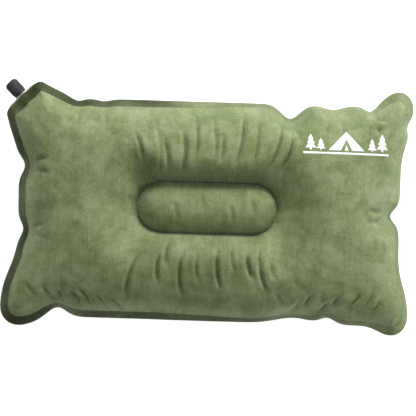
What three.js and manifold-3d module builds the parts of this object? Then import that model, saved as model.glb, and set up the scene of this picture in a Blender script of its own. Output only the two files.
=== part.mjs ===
// Self-inflating camp pillow: two suede-faced cloths welded together round the edge and along a
// stadium-shaped line in the middle, open-cell foam inside, and a twist valve in one cut corner.
//
// Millimetres, +Z up. The pillow lies on its back with its long side along X. The origin is under
// the middle of its outline, on the surface it rests on.
import * as THREE from 'three';
import { mergeVertices } from 'three/addons/utils/BufferGeometryUtils.js';
import Module from 'manifold-3d';

const wasm = await Module();
wasm.setup();

// Inflated size, over the edge of the welded flange
const pillowLength = 480;
const pillowWidth = 290;
const crownHeight = 48; // how high the dome formula rises above the weld plane
const restSquash = 8; // how much of that the pillow loses where it lies on a surface

// Welded edge
const flangeWidth = 11;
const longSideWaist = 13; // inward pull halfway along the long sides
const shortSideWaist = 11; // the same on the short sides
const cornerRadius = 10; // weld line at the three plain corners
const valveCornerCut = 40; // leg of the corner cut off for the valve, at the flange edge
const cutFillet = 6; // weld line where that cut meets the sides

// Weld line in the middle, a stadium, and the pad that it encloses
const ringLength = 170;
const ringWidth = 60;
const islandHeight = 14;

// Shape of the dome
const domePower = 4; // higher is fuller towards the corners
const edgeRun = 6; // distance over which the cloth leaves the edge weld
const creaseRun = 55; // distance over which it dives to the middle weld
const edgeSlope = 0.6; // least slope of the cloth as it leaves the edge weld
const filmStart = 3; // where the film and the foam begin, inwards from the edge weld
const foamStart = 9;
const domeLoops = [0.13, 0.38, 0.64, 0.88]; // loops from there to the middle weld; the foam ends at the last
const islandLoops = [0.3, 0.75]; // loops inside the middle weld; its foam begins at the first

// Layers
const clothThickness = 0.8;
const filmThickness = 0.3;
const layerGap = 0.3;

// Valve boot: soft tube with a lens-shaped neck and two flat wings between the cloths
const tubeRadius = 4.2;
const tubeWall = 0.8;
const tubeReach = 13; // how far the tube goes in past the edge weld
const neckReach = 3; // how far the neck and the wings go in past it
const neckHalfWidth = 13;
const neckSkin = 0.1; // neck over the tube at its thickest
const wingHalfHeight = 0.45;
const wingInset = 1.6; // room between a wing's end and the end of the corner cut
const bootOuter = 1.8; // boot past the flange edge
const pocketClearance = 0.6;

// Valve body: hose spigot, collar, land for the O-ring, threaded barrel, plug on three arms
const fit = 0.3; // clearance between neighbouring valve parts
const spigotShort = 2; // the spigot stops this far before the tube's end
const spigotBore = 2;
const spigotBarb = 0.25;
const barbLead = 3; // length of a barb's slope
const barbStep = 0.2; // length of its sharp side
const collarHeight = 1;
const collarInset = 0.65; // collar smaller than the cap, in radius
const barrelRadius = 5.2; // O-ring land and crest of the thread
const threadDepth = 0.8;
const threadPitch = 2.4;
const threadTurns = 2.4;
const ridgeRootShare = 0.31; // half width of a ridge at its root and its crest, in pitches
const ridgeTipShare = 0.125;
const threadOverlap = 0.1; // how far a ridge stands into the wall that carries it
const barrelBore = 3.2;
const postRadius = 1.3;
const plugRadius = 2.2;
const armWidth = 1.2;
const armHeight = 1.5;

// Cap and seals
const capWall = 0.95; // behind the O-ring's groove, under the ribs
const capLength = 17.6;
const ribDepth = 0.45;
const ribCount = 24;
const capEndWall = 2;
const mouthDepth = 2.8;
const mouthRadius = 5;
const liftTravel = 2.4; // one full turn of the thread
const capThreadTurns = 1.25;
const threadRunout = 0.45;
const rimChamfer = 1.3;
const skirtChamfer = 0.6;
const cavityChamfer = 0.8;
const plugSetback = 0.4; // the plug's tip below the bottom of the mouthpiece
const ringSection = 0.55; // O-ring in the skirt, section radius
const plugSealSection = 0.4;
const sealGap = 0.25;
const skirtLip = 0.5;

// Places worked out from the sizes above
const weldHalfLength = pillowLength / 2 - flangeWidth;
const weldHalfWidth = pillowWidth / 2 - flangeWidth;
const weldPlane = crownHeight - restSquash;
const tubeEnd = -(flangeWidth + tubeReach); // measured outwards from the flange edge
const bootInner = -(flangeWidth + neckReach);
const neckHalfHeight = tubeRadius + neckSkin;
const weldCut = valveCornerCut - flangeWidth * (2 - Math.SQRT2);
const filletRun = cutFillet * Math.tan(Math.PI / 8);
const cutHalf = weldCut / Math.SQRT2 - filletRun; // straight part of the cut, half length
const wingHalfWidth = cutHalf - wingInset;
const filmDepth = clothThickness + layerGap;
const foamDepth = filmDepth + filmThickness + layerGap;
const filmLoop = 2; // after the flange edge and the edge weld
const foamLoop = filmLoop + 1;
const ringLoop = foamLoop + domeLoops.length + 1;
const lastLoop = ringLoop + islandLoops.length;
const loopCount = lastLoop + 1;
const valveTurn = Math.PI / 4; // from +Y to the valve's axis
const valvePlace = new THREE.Vector3(
  -(pillowLength / 2 - valveCornerCut / 2),
  pillowWidth / 2 - valveCornerCut / 2,
  weldPlane,
);

const suede = new THREE.MeshStandardMaterial({ color: 0x76864f, roughness: 0.95, metalness: 0 });
const film = new THREE.MeshStandardMaterial({ color: 0x55584c, roughness: 0.5, metalness: 0 });
const foam = new THREE.MeshStandardMaterial({ color: 0xe6dfc6, roughness: 1, metalness: 0 });
const clearVinyl = new THREE.MeshStandardMaterial({ color: 0xc9cdbf, roughness: 0.35, metalness: 0 });
const blackPlastic = new THREE.MeshStandardMaterial({ color: 0x1d1c1b, roughness: 0.4, metalness: 0 });
const rubber = new THREE.MeshStandardMaterial({ color: 0x2a2622, roughness: 0.7, metalness: 0 });

// ---------------------------------------------------------------- outline

// One station of the weld line: its place and the direction straight out of the pillow.
// Only stations on the corner cut have across, their distance from the valve's axis.
function station(x, y, outX, outY, across = null) {
  return { x, y, outX, outY, across };
}

// A side from one point to another, pulled in by waist at its middle; its last point is left out.
function side(from, to, outX, outY, waist, steps) {
  const list = [];
  for (let k = 0; k < steps; k += 1) {
    const s = k / steps;
    const pull = waist * (1 - (2 * s - 1) ** 2) ** 2;
    const x = from[0] + (to[0] - from[0]) * s - outX * pull;
    const y = from[1] + (to[1] - from[1]) * s - outY * pull;
    list.push(station(x, y, outX, outY));
  }
  return list;
}

// A round corner from one angle to another, in degrees; its last point is left out.
function corner(centreX, centreY, radius, fromAngle, toAngle, steps) {
  const list = [];
  for (let k = 0; k < steps; k += 1) {
    const angle = THREE.MathUtils.degToRad(fromAngle + ((toAngle - fromAngle) * k) / steps);
    const outX = Math.cos(angle);
    const outY = Math.sin(angle);
    list.push(station(centreX + radius * outX, centreY + radius * outY, outX, outY));
  }
  return list;
}

// The corner cut, with stations where the boot's neck and wings change shape.
function valveCut() {
  const half = [neckHalfWidth / 3, (neckHalfWidth * 2) / 3, neckHalfWidth, wingHalfWidth + layerGap];
  const across = [cutHalf, ...half.toReversed(), 0, ...half.map((v) => -v)];
  const middleX = -(weldHalfLength - weldCut / 2);
  const middleY = weldHalfWidth - weldCut / 2;
  return across.map((v) => {
    const step = v * Math.SQRT1_2;
    return station(middleX + step, middleY + step, -Math.SQRT1_2, Math.SQRT1_2, v);
  });
}

function weldStations() {
  const a = weldHalfLength;
  const b = weldHalfWidth;
  const r = cornerRadius;
  const cut = weldCut + filletRun;
  return [
    ...side([a, -b + r], [a, b - r], 1, 0, shortSideWaist, 6),
    ...corner(a - r, b - r, r, 0, 90, 3),
    ...side([a - r, b], [-a + cut, b], 0, 1, longSideWaist, 10),
    ...corner(-a + cut, b - cutFillet, cutFillet, 90, 135, 2),
    ...valveCut(),
    ...corner(-a + cutFillet, b - cut, cutFillet, 135, 180, 2),
    ...side([-a, b - cut], [-a, -b + r], -1, 0, shortSideWaist, 5),
    ...corner(-a + r, -b + r, r, 180, 270, 3),
    ...side([-a + r, -b], [a - r, -b], 0, -1, longSideWaist, 11),
    ...corner(a - r, -b + r, r, 270, 360, 3),
  ];
}

// Where the line from the centre to a station crosses the middle weld.
function ringPoint(x, y) {
  const radius = ringWidth / 2;
  const straight = ringLength / 2 - radius;
  const crossing = Math.abs(y) > 1e-9 ? (x * radius) / Math.abs(y) : Infinity;
  if (Math.abs(crossing) <= straight) {
    return [crossing, Math.sign(y) * radius];
  }
  const length = Math.hypot(x, y);
  const alongX = Math.abs(x) / length;
  const alongY = y / length;
  const reach = straight * alongX + Math.sqrt(radius ** 2 - (straight * alongY) ** 2);
  return [Math.sign(x) * reach * alongX, reach * alongY];
}

// ---------------------------------------------------------------- dome

// Half thickness of the valve boot at a distance from its axis.
function bootHeight(across) {
  const v = Math.abs(across);
  if (v >= neckHalfWidth) {
    return wingHalfHeight;
  }
  const lens = Math.cos((Math.PI / 2) * (v / neckHalfWidth)) ** 2;
  return wingHalfHeight + (neckHalfHeight - wingHalfHeight) * lens;
}

// Height of the cloth's outer face above the weld plane, on the flange.
function flangeHeight(place) {
  const overBoot = place.across !== null && Math.abs(place.across) < cutHalf;
  const inner = overBoot ? bootHeight(place.across) + layerGap : layerGap / 2;
  return inner + clothThickness;
}

// Height of the cloth's outer face above the weld plane, between the two welds.
function domeHeight(x, y, fromEdge, fromRing) {
  const endFall = Math.max(0, 1 - Math.abs(x / weldHalfLength) ** domePower);
  const sideFall = Math.max(0, 1 - Math.abs(y / weldHalfWidth) ** domePower);
  const edge = 1 - Math.exp(-fromEdge / edgeRun);
  const crease = Math.sqrt(1 - (1 - Math.min(1, fromRing / creaseRun)) ** 2);
  return crownHeight * Math.sqrt(endFall * sideFall) * edge * crease;
}

const ringHeight = layerGap / 2 + filmThickness + layerGap + clothThickness;

// The outer face of one cloth as loops of points, from the flange edge to the middle of the island.
// facing is 1 for the upper cloth and -1 for the lower one, which is flat where it rests.
function clothLoops(stations, facing) {
  const settle = (height) => facing * (facing < 0 ? Math.min(height, weldPlane) : height);
  const loops = Array.from({ length: loopCount }, () => []);
  stations.forEach((place) => {
    const edge = settle(flangeHeight(place));
    const outerX = place.x + place.outX * flangeWidth;
    const outerY = place.y + place.outY * flangeWidth;
    loops[0].push(new THREE.Vector3(outerX, outerY, edge));
    loops[1].push(new THREE.Vector3(place.x, place.y, edge));
    const [ringX, ringY] = ringPoint(place.x, place.y);
    const run = Math.hypot(ringX - place.x, ringY - place.y);
    const domeDistances = domeLoops.map((share) => foamStart + (run - foamStart) * share);
    [filmStart, foamStart, ...domeDistances].forEach((distance, k) => {
      const x = place.x + ((ringX - place.x) * distance) / run;
      const y = place.y + ((ringY - place.y) * distance) / run;
      const least = flangeHeight(place) + edgeSlope * Math.min(distance, foamStart);
      const rise = Math.max(domeHeight(x, y, distance, run - distance), least);
      loops[filmLoop + k].push(new THREE.Vector3(x, y, settle(rise)));
    });
    loops[ringLoop].push(new THREE.Vector3(ringX, ringY, settle(ringHeight)));
    const straight = ringLength / 2 - ringWidth / 2;
    const middleX = THREE.MathUtils.clamp(ringX, -straight, straight);
    islandLoops.forEach((share, k) => {
      const x = ringX + (middleX - ringX) * share;
      const rise = ringHeight + islandHeight * Math.sqrt(1 - (1 - share) ** 2);
      loops[ringLoop + 1 + k].push(new THREE.Vector3(x, ringY * (1 - share), settle(rise)));
    });
  });
  return loops;
}

// Directions square to the cloth, for sinking a loop to a deeper layer. The welds sink straight.
function loopNormals(loops, facing) {
  const count = loops[0].length;
  const straight = new THREE.Vector3(0, 0, facing);
  return loops.map((loop, k) =>
    loop.map((point, i) => {
      if (k < filmLoop || k === ringLoop || k === loops.length - 1) {
        return straight;
      }
      const along = loop[(i + 1) % count].clone().sub(loop[(i + count - 1) % count]);
      const inward = loops[k + 1][i].clone().sub(loops[k - 1][i]);
      return along.cross(inward).normalize().multiplyScalar(facing);
    }),
  );
}

// Loops from one number to another, sunk square to the cloth.
function sink(face, from, to, depth) {
  return face.loops.slice(from, to + 1).map((loop, k) =>
    loop.map((point, i) => point.clone().addScaledVector(face.normals[from + k][i], -depth)));
}

// ---------------------------------------------------------------- meshes

class Surface {
  constructor() {
    this.positions = [];
    this.index = [];
  }

  add(loop) {
    const start = this.positions.length / 3;
    loop.forEach((point) => this.positions.push(point.x, point.y, point.z));
    return { start, count: loop.length };
  }

  // Quads between two loops; the first loop is on the left of the outward-facing side. Each quad
  // is split from its first loop to its second, or the other way where crossed is set.
  strip(first, second, crossed = false) {
    for (let i = 0; i < first.count; i += 1) {
      const next = (i + 1) % first.count;
      const [a, b] = [first.start + i, first.start + next];
      const [c, d] = [second.start + next, second.start + i];
      this.index.push(...(crossed ? [a, b, d, b, c, d] : [a, b, c, a, c, d]));
    }
  }

  strips(rings, crossed = false) {
    for (let k = 1; k < rings.length; k += 1) {
      this.strip(rings[k - 1], rings[k], crossed);
    }
  }

  // Fills a counter-clockwise loop, facing up or down.
  cap(ring, loop, facing) {
    const flat = loop.map((point) => new THREE.Vector2(point.x, point.y));
    THREE.ShapeUtils.triangulateShape(flat, []).forEach(([p, q, r]) => {
      const corners = facing > 0 ? [p, q, r] : [p, r, q];
      corners.forEach((corner3) => this.index.push(ring.start + corner3));
    });
  }

  geometry() {
    const geometry = new THREE.BufferGeometry();
    geometry.setAttribute('position', new THREE.Float32BufferAttribute(this.positions, 3));
    geometry.setIndex(this.index);
    return geometry;
  }
}

// A sheet with two faces, from an edge loop to a filled middle. Both faces are lists of loops
// that run inwards; top is the one that faces up.
function sheetGeometry(top, bottom) {
  const surface = new Surface();
  const upper = top.map((loop) => surface.add(loop));
  const lower = bottom.map((loop) => surface.add(loop));
  surface.strips(upper);
  surface.cap(upper.at(-1), top.at(-1), 1);
  surface.strips(lower.toReversed(), true);
  surface.cap(lower.at(-1), bottom.at(-1), -1);
  surface.strip(lower[0], upper[0]);
  return surface.geometry();
}

// A solid ring between two faces, closed by a wall on its outside and on its inside.
function ringGeometry(top, bottom) {
  const surface = new Surface();
  const upper = top.map((loop) => surface.add(loop));
  const lower = bottom.map((loop) => surface.add(loop));
  surface.strips([...upper, lower.at(-1)]);
  surface.strips([...lower.toReversed(), upper[0]], true);
  return surface.geometry();
}

function toSolid(geometry) {
  const bare = geometry.clone();
  bare.deleteAttribute('normal');
  bare.deleteAttribute('uv');
  const welded = mergeVertices(bare, 1e-5);
  const vertProperties = Float32Array.from(welded.attributes.position.array);
  const triVerts = Uint32Array.from(welded.index.array);
  return new wasm.Manifold(new wasm.Mesh({ numProp: 3, vertProperties, triVerts }));
}

function toGeometry(solid) {
  const mesh = solid.getMesh();
  const geometry = new THREE.BufferGeometry();
  const positions = [];
  for (let i = 0; i < mesh.vertProperties.length; i += mesh.numProp) {
    positions.push(...mesh.vertProperties.slice(i, i + 3));
  }
  geometry.setAttribute('position', new THREE.Float32BufferAttribute(positions, 3));
  geometry.setIndex([...mesh.triVerts]);
  return geometry;
}

// A turned part: profile pairs are radius and height along the valve's axis.
function turned(profile, segments = 28) {
  const points = profile.map(([radius, height]) => new THREE.Vector2(radius, height));
  return toSolid(new THREE.LatheGeometry(points, segments));
}

// A straight-sided part: an outline across the valve's axis, standing from one height to another.
function prism(outline, from, to) {
  const shape = new THREE.Shape(outline.map(([x, y]) => new THREE.Vector2(x, y)));
  const geometry = new THREE.ExtrudeGeometry(shape, { depth: to - from, bevelEnabled: false });
  geometry.rotateX(Math.PI / 2);
  geometry.translate(0, to, 0);
  return toSolid(geometry);
}

// One thread ridge, right-handed about +Y. rootRadius is where it stands and tipRadius its crest.
function threadRidge(rootRadius, tipRadius, startHeight, turns) {
  const stepsPerTurn = 24;
  const steps = Math.round(stepsPerTurn * turns);
  const rootHalf = threadPitch * ridgeRootShare;
  const tipHalf = threadPitch * ridgeTipShare;
  const surface = new Surface();
  const sections = [];
  for (let k = 0; k <= steps; k += 1) {
    const angle = (k / stepsPerTurn) * 2 * Math.PI;
    const height = startHeight + (k / stepsPerTurn) * threadPitch;
    const runout = Math.min(1, (k + 0.4) / 3, (steps - k + 0.4) / 3);
    const crest = rootRadius + (tipRadius - rootRadius) * runout;
    const section = [[rootRadius, -rootHalf], [crest, -tipHalf], [crest, tipHalf], [rootRadius, rootHalf]];
    const loop = section.map(([radius, rise]) =>
      new THREE.Vector3(radius * Math.sin(angle), height + rise, radius * Math.cos(angle)));
    sections.push(surface.add(tipRadius > rootRadius ? loop : loop.toReversed()));
  }
  surface.strips(sections.toReversed());
  [sections[0], sections.at(-1)].forEach((end, k) => {
    const [p, q, r, s] = [0, 1, 2, 3].map((offset) => end.start + offset);
    surface.index.push(...(k === 0 ? [p, q, r, p, r, s] : [p, r, q, p, s, r]));
  });
  return toSolid(surface.geometry());
}

function torusRing(radius, section, height) {
  const geometry = new THREE.TorusGeometry(radius, section, 8, 24);
  geometry.rotateX(Math.PI / 2);
  geometry.translate(0, height, 0);
  return geometry;
}

// ---------------------------------------------------------------- valve

const spigotEnd = tubeEnd + spigotShort;
const spigotRadius = tubeRadius - tubeWall - 2 * spigotBarb;
const collarBase = bootOuter + fit;
const collarTop = collarBase + collarHeight;
const capBase = collarTop + fit;
const capTop = capBase + capLength;
const ringGroove = [capBase + skirtLip, capBase + skirtLip + 2 * (ringSection + fit)];
const skirtRingHeight = (ringGroove[0] + ringGroove[1]) / 2;
const skirtRingRadius = barrelRadius + sealGap + ringSection;
const grooveRadius = skirtRingRadius + ringSection + fit;
const capRadius = grooveRadius + capWall + ribDepth;
const collarRadius = capRadius - collarInset;
const landTop = skirtRingHeight + ringSection + liftTravel + threadOverlap;
const threadStart = landTop + threadRunout;
const barrelTop = threadStart + threadTurns * threadPitch + threadRunout;
const threadRoot = barrelRadius - threadDepth;
const endWallTop = capTop - mouthDepth;
const endWallBase = endWallTop - capEndWall;
const plugTop = endWallTop - plugSetback;
const plugSealHeight = (endWallBase + plugTop) / 2;
const plugSealRadius = plugRadius;
const orificeRadius = plugSealRadius + plugSealSection + sealGap;
const cavityRadius = barrelRadius + fit;

function bootGeometry() {
  const reach = [-wingHalfWidth, -neckHalfWidth, (-neckHalfWidth * 2) / 3, -neckHalfWidth / 3];
  const across = [...reach, 0, ...reach.toReversed().map((v) => -v)];
  const upper = across.map((v) => [v, bootHeight(v)]);
  const lower = across.toReversed().map((v) => [v, -bootHeight(v)]);
  const neck = prism([...lower.toReversed(), ...upper.toReversed()], bootInner, bootOuter);
  const bore = tubeRadius - tubeWall;
  const tube = turned([[0, tubeEnd], [tubeRadius, tubeEnd], [tubeRadius, 0], [0, 0]], 24);
  const hole = turned([[0, tubeEnd - 1], [bore, tubeEnd - 1], [bore, bootOuter + 1], [0, bootOuter + 1]], 24);
  return toGeometry(neck.add(tube).subtract(hole));
}

function valveBodyGeometry() {
  const barb = spigotRadius + spigotBarb;
  const outside = [
    [0, spigotEnd], [spigotRadius - spigotBarb, spigotEnd],
    [barb, spigotEnd + barbLead], [spigotRadius, spigotEnd + barbLead + barbStep],
    [spigotRadius, spigotEnd + 2 * barbLead], [barb, spigotEnd + 3 * barbLead],
    [spigotRadius, spigotEnd + 3 * barbLead + barbStep], [spigotRadius, collarBase],
    [collarRadius, collarBase], [collarRadius, collarTop],
    [barrelRadius, collarTop], [barrelRadius, landTop], [threadRoot, landTop + fit],
    [threadRoot, barrelTop], [0, barrelTop],
  ];
  const inside = [
    [0, spigotEnd - 1], [spigotBore, spigotEnd - 1], [spigotBore, collarBase],
    [barrelBore, collarTop + 1], [barrelBore, barrelTop + 1], [0, barrelTop + 1],
  ];
  const ridge = threadRidge(threadRoot - threadOverlap, barrelRadius, threadStart, threadTurns);
  let body = turned(outside).add(ridge).subtract(turned(inside));
  const armBase = landTop;
  const reach = barrelBore + fit;
  for (let k = 0; k < 3; k += 1) {
    const arm = new THREE.BoxGeometry(armWidth, armHeight, reach);
    arm.translate(0, armBase + armHeight / 2, reach / 2);
    arm.rotateY((k * 2 * Math.PI) / 3);
    body = body.add(toSolid(arm));
  }
  const groove = plugSealSection + sealGap;
  const grooveBase = plugSealHeight - groove;
  const grooveTop = Math.min(plugSealHeight + groove, plugTop - sealGap);
  const grooveFloor = plugSealRadius - groove;
  const plug = [
    [0, armBase], [postRadius, armBase], [postRadius, grooveBase - plugRadius + postRadius - fit],
    [plugRadius, grooveBase - fit], [plugRadius, grooveBase], [grooveFloor, grooveBase],
    [grooveFloor, grooveTop], [plugRadius, grooveTop], [plugRadius - sealGap, plugTop], [0, plugTop],
  ];
  return toGeometry(body.add(turned(plug, 24)));
}

function capGeometry() {
  const star = [];
  const pitch = (2 * Math.PI) / ribCount;
  for (let k = 0; k < ribCount; k += 1) {
    [[-0.3, ribDepth], [-0.12, 0], [0.12, 0], [0.3, ribDepth]].forEach(([offset, drop]) => {
      const radius = capRadius - drop;
      const angle = (k + offset) * pitch;
      star.push([radius * Math.cos(angle), radius * Math.sin(angle)]);
    });
  }
  const rim = capRadius + ribDepth / 4;
  const outer = [
    [0, capBase], [rim - skirtChamfer, capBase], [rim, capBase + skirtChamfer],
    [rim, capTop - rimChamfer], [rim - rimChamfer, capTop], [0, capTop],
  ];
  const inner = [
    [0, capBase - 1], [cavityRadius, capBase - 1], [cavityRadius, ringGroove[0]],
    [grooveRadius, ringGroove[0]], [grooveRadius, ringGroove[1]], [cavityRadius, ringGroove[1]],
    [cavityRadius, endWallBase - cavityChamfer], [cavityRadius - cavityChamfer, endWallBase],
    [orificeRadius, endWallBase], [orificeRadius, endWallTop], [mouthRadius, endWallTop],
    [mouthRadius, capTop + 1], [0, capTop + 1],
  ];
  const shell = prism(star, capBase - 1, capTop + 1).intersect(turned(outer, 48)).subtract(turned(inner));
  const ridge = threadRidge(
    cavityRadius + threadOverlap,
    threadRoot + fit,
    threadStart + threadPitch / 2,
    capThreadTurns,
  );
  return toGeometry(shell.add(ridge));
}

// ---------------------------------------------------------------- assembly

const pillow = new THREE.Group();

function add(parent, name, geometry, material) {
  const mesh = new THREE.Mesh(geometry, material);
  mesh.name = name;
  parent.add(mesh);
}

const stations = weldStations();
const faces = [1, -1].map((facing) => {
  const loops = clothLoops(stations, facing);
  return { loops, normals: loopNormals(loops, facing) };
});
const [upperFace, lowerFace] = faces;

// The foam ring, with a pocket for the boot's tube.
function foamCoreGeometry() {
  const [top, bottom] = faces.map((face) => sink(face, foamLoop, ringLoop - 1, foamDepth));
  const core = toSolid(ringGeometry(top, bottom));
  const radius = tubeRadius + pocketClearance;
  const depth = pocketClearance - tubeEnd;
  const shank = new THREE.CylinderGeometry(radius, radius, depth, 16);
  shank.translate(0, -depth / 2, 0);
  shank.rotateZ(valveTurn);
  shank.translate(valvePlace.x, valvePlace.y, 0);
  return toGeometry(core.subtract(toSolid(shank)));
}

const body = new THREE.Group();
body.position.z = weldPlane;
pillow.add(body);

const coverFaces = (face) => [0, clothThickness].map((depth) => sink(face, 0, lastLoop, depth));
const filmBottom = filmDepth + filmThickness;
const filmFaces = (face) => [filmDepth, filmBottom].map((depth) => sink(face, filmLoop, lastLoop, depth));
const islandFaces = faces.map((face) => sink(face, ringLoop + 1, lastLoop, foamDepth));
add(body, 'upper_cover', sheetGeometry(...coverFaces(upperFace)), suede);
add(body, 'lower_cover', sheetGeometry(...coverFaces(lowerFace).toReversed()), suede);
add(body, 'upper_air_film', sheetGeometry(...filmFaces(upperFace)), film);
add(body, 'lower_air_film', sheetGeometry(...filmFaces(lowerFace).toReversed()), film);
add(body, 'foam_core', foamCoreGeometry(), foam);
add(body, 'foam_island', sheetGeometry(...islandFaces), foam);

const valve = new THREE.Group();
valve.position.copy(valvePlace);
valve.rotation.z = valveTurn;
pillow.add(valve);

add(valve, 'valve_boot', bootGeometry(), clearVinyl);
add(valve, 'valve_body', valveBodyGeometry(), blackPlastic);
add(valve, 'plug_seal', torusRing(plugSealRadius, plugSealSection, plugSealHeight), rubber);
add(valve, 'cap_o_ring', torusRing(skirtRingRadius, ringSection, skirtRingHeight), rubber);
add(valve, 'valve_cap', capGeometry(), blackPlastic);

export default pillow;
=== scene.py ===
# %% [markdown]
# # A self-inflating camp pillow
#
# This lesson builds the soft look of a camp pillow round a frame that is already fixed. The frame
# is the CAD model. It gives the bodies that move and the box that everything has to stay in.
# The first cell loads it. Everything after it is in metres, +Z up, in the frame's own place.

# %% Load the frame
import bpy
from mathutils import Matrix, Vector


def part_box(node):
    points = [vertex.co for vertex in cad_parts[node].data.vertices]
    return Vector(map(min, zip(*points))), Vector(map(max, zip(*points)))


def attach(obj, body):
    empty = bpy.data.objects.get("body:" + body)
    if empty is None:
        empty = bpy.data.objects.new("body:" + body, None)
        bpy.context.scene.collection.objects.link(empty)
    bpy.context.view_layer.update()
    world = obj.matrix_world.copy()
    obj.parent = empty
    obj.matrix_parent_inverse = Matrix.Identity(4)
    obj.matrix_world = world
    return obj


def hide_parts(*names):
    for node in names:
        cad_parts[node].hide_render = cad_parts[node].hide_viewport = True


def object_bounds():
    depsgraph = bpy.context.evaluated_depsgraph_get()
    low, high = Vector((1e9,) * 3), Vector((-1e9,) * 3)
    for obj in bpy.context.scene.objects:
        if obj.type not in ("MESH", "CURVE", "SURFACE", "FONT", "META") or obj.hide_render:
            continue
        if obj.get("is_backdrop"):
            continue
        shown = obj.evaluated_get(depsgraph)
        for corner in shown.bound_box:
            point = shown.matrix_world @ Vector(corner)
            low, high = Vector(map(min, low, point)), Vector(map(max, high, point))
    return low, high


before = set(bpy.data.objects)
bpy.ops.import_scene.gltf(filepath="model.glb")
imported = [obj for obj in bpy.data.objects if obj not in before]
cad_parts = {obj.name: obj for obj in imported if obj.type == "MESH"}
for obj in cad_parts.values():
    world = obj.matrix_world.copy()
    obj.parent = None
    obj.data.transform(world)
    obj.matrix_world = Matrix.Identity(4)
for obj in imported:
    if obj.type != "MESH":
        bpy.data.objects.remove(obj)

CAD_LOW, CAD_HIGH = ([float(v) for v in corner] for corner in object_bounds())
print("CAD box", [round(v, 4) for v in CAD_LOW], [round(v, 4) for v in CAD_HIGH])

# %% Blender's tools
import math
import random

import bmesh
import bpy
import numpy as np
from mathutils import Vector
from mathutils.bvhtree import BVHTree
from mathutils.geometry import delaunay_2d_cdt

MM = 0.001
scene = bpy.context.scene
SEED = 3

# %% [markdown]
# ## Where the pieces meet
#
# The two cloths of the pillow are welded together in one plane, and the valve's axis lies in that
# plane. So its height is read from the valve boot, not typed in. The valve points outwards
# across one cut corner, at 45 degrees. A place near it is easiest to say as two distances:
# `along` the cut, and `out` of the pillow past the edge of the welded rim.

# %% The weld plane and the valve's own directions
boot_low, boot_high = (np.array(corner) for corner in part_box("valve_boot"))
WELD_Z = float(boot_low[2] + boot_high[2]) / 2
PILLOW_LENGTH = CAD_HIGH[0] - CAD_LOW[0]
PILLOW_WIDTH = CAD_HIGH[1] - CAD_LOW[1]
PILLOW_HEIGHT = CAD_HIGH[2] - CAD_LOW[2]
VALVE_PLACE = np.array([-0.220, 0.125, WELD_Z])
VALVE_OUT = np.array([-1.0, 1.0, 0.0]) / math.sqrt(2)
VALVE_ALONG = np.array([1.0, 1.0, 0.0]) / math.sqrt(2)
print("weld plane", round(WELD_Z, 4), "pillow", round(PILLOW_LENGTH, 3), "x", round(PILLOW_WIDTH, 3))


def valve_distances(points):
    """How far each point is along the cut corner and out past the rim's edge."""
    from_valve = points[:, :2] - VALVE_PLACE[:2]
    return from_valve @ VALVE_ALONG[:2], from_valve @ VALVE_OUT[:2]


# %% [markdown]
# ## The flat cut
#
# A pillow like this starts as two flat cloths. They are welded round the edge, leaving a rim of
# cloth outside the weld, and along a stadium-shaped line in the middle. Then foam and air swell
# it. A pillow could be modelled by pushing a grid into a dome, but the folds that fan out from
# the welds come from flat cloth that has nowhere to go. So this lesson draws the real flat cut
# and lets the cloth solver find the folds. The cut is bigger than the finished pillow, because
# swelling pulls the edges in.

# %% Sizes of the cut
CUT_HALF_LENGTH = 0.2415
CUT_HALF_WIDTH = 0.141
RIM_WIDTH = 0.0125
CORNER_RADIUS = 0.012
VALVE_CORNER = 0.034
VALVE_CORNER_RADIUS = 0.0095
RING_HALF_LENGTH = 0.087
RING_HALF_WIDTH = 0.032
STEP = 0.005


# %% The outline, as lines and arcs
def arc(centre, radius, start, end, steps):
    angles = [math.radians(start + (end - start) * i / steps) for i in range(steps)]
    return [(centre[0] + radius * math.cos(a), centre[1] + radius * math.sin(a)) for a in angles]


def line(start, end, steps):
    return [
        (start[0] + (end[0] - start[0]) * i / steps, start[1] + (end[1] - start[1]) * i / steps)
        for i in range(steps)
    ]


def steps_for(length):
    return max(2, round(length / STEP))


def cut_outline(offset):
    """The weld line moved outwards by offset, counter-clockwise, always with as many points."""
    a, b = CUT_HALF_LENGTH, CUT_HALF_WIDTH
    r, f = CORNER_RADIUS, VALVE_CORNER_RADIUS
    tangent = f * math.tan(math.pi / 8)
    upper = (-a + VALVE_CORNER + tangent, b - f)
    lower = (-a + f, b - VALVE_CORNER - tangent)
    reach = (f + offset) / math.sqrt(2)
    far_a, far_b = a + offset, b + offset
    quarter, eighth = max(5, steps_for(r * 1.6)), max(3, steps_for(f * 0.8))
    return (
        line((far_a, -b + r), (far_a, b - r), steps_for(2 * (b - r)))
        + arc((a - r, b - r), r + offset, 0, 90, quarter)
        + line((a - r, far_b), (upper[0], far_b), steps_for(2 * a - r - VALVE_CORNER))
        + arc(upper, f + offset, 90, 135, eighth)
        + line(
            (upper[0] - reach, upper[1] + reach),
            (lower[0] - reach, lower[1] + reach),
            steps_for(VALVE_CORNER * math.sqrt(2) - 2 * tangent),
        )
        + arc(lower, f + offset, 135, 180, eighth)
        + line((-far_a, lower[1]), (-far_a, -b + r), steps_for(2 * b - r - VALVE_CORNER))
        + arc((-a + r, -b + r), r + offset, 180, 270, quarter)
        + line((-a + r, -far_b), (a - r, -far_b), steps_for(2 * (a - r)))
        + arc((a - r, -b + r), r + offset, 270, 360, quarter)
    )


def ring_outline(offset):
    """The middle weld, a stadium, moved outwards by offset."""
    straight, radius = RING_HALF_LENGTH - RING_HALF_WIDTH, RING_HALF_WIDTH + offset
    flat, round_end = steps_for(2 * straight), steps_for(math.pi * RING_HALF_WIDTH)
    return (
        line((-straight, -radius), (straight, -radius), flat)
        + arc((straight, 0), radius, -90, 90, round_end)
        + line((straight, radius), (-straight, radius), flat)
        + arc((-straight, 0), radius, 90, 270, round_end)
    )


weld_line = np.array(cut_outline(0))
ring_line = np.array(ring_outline(0))
print("edge weld", len(weld_line), "points, middle weld", len(ring_line), "points")


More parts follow.
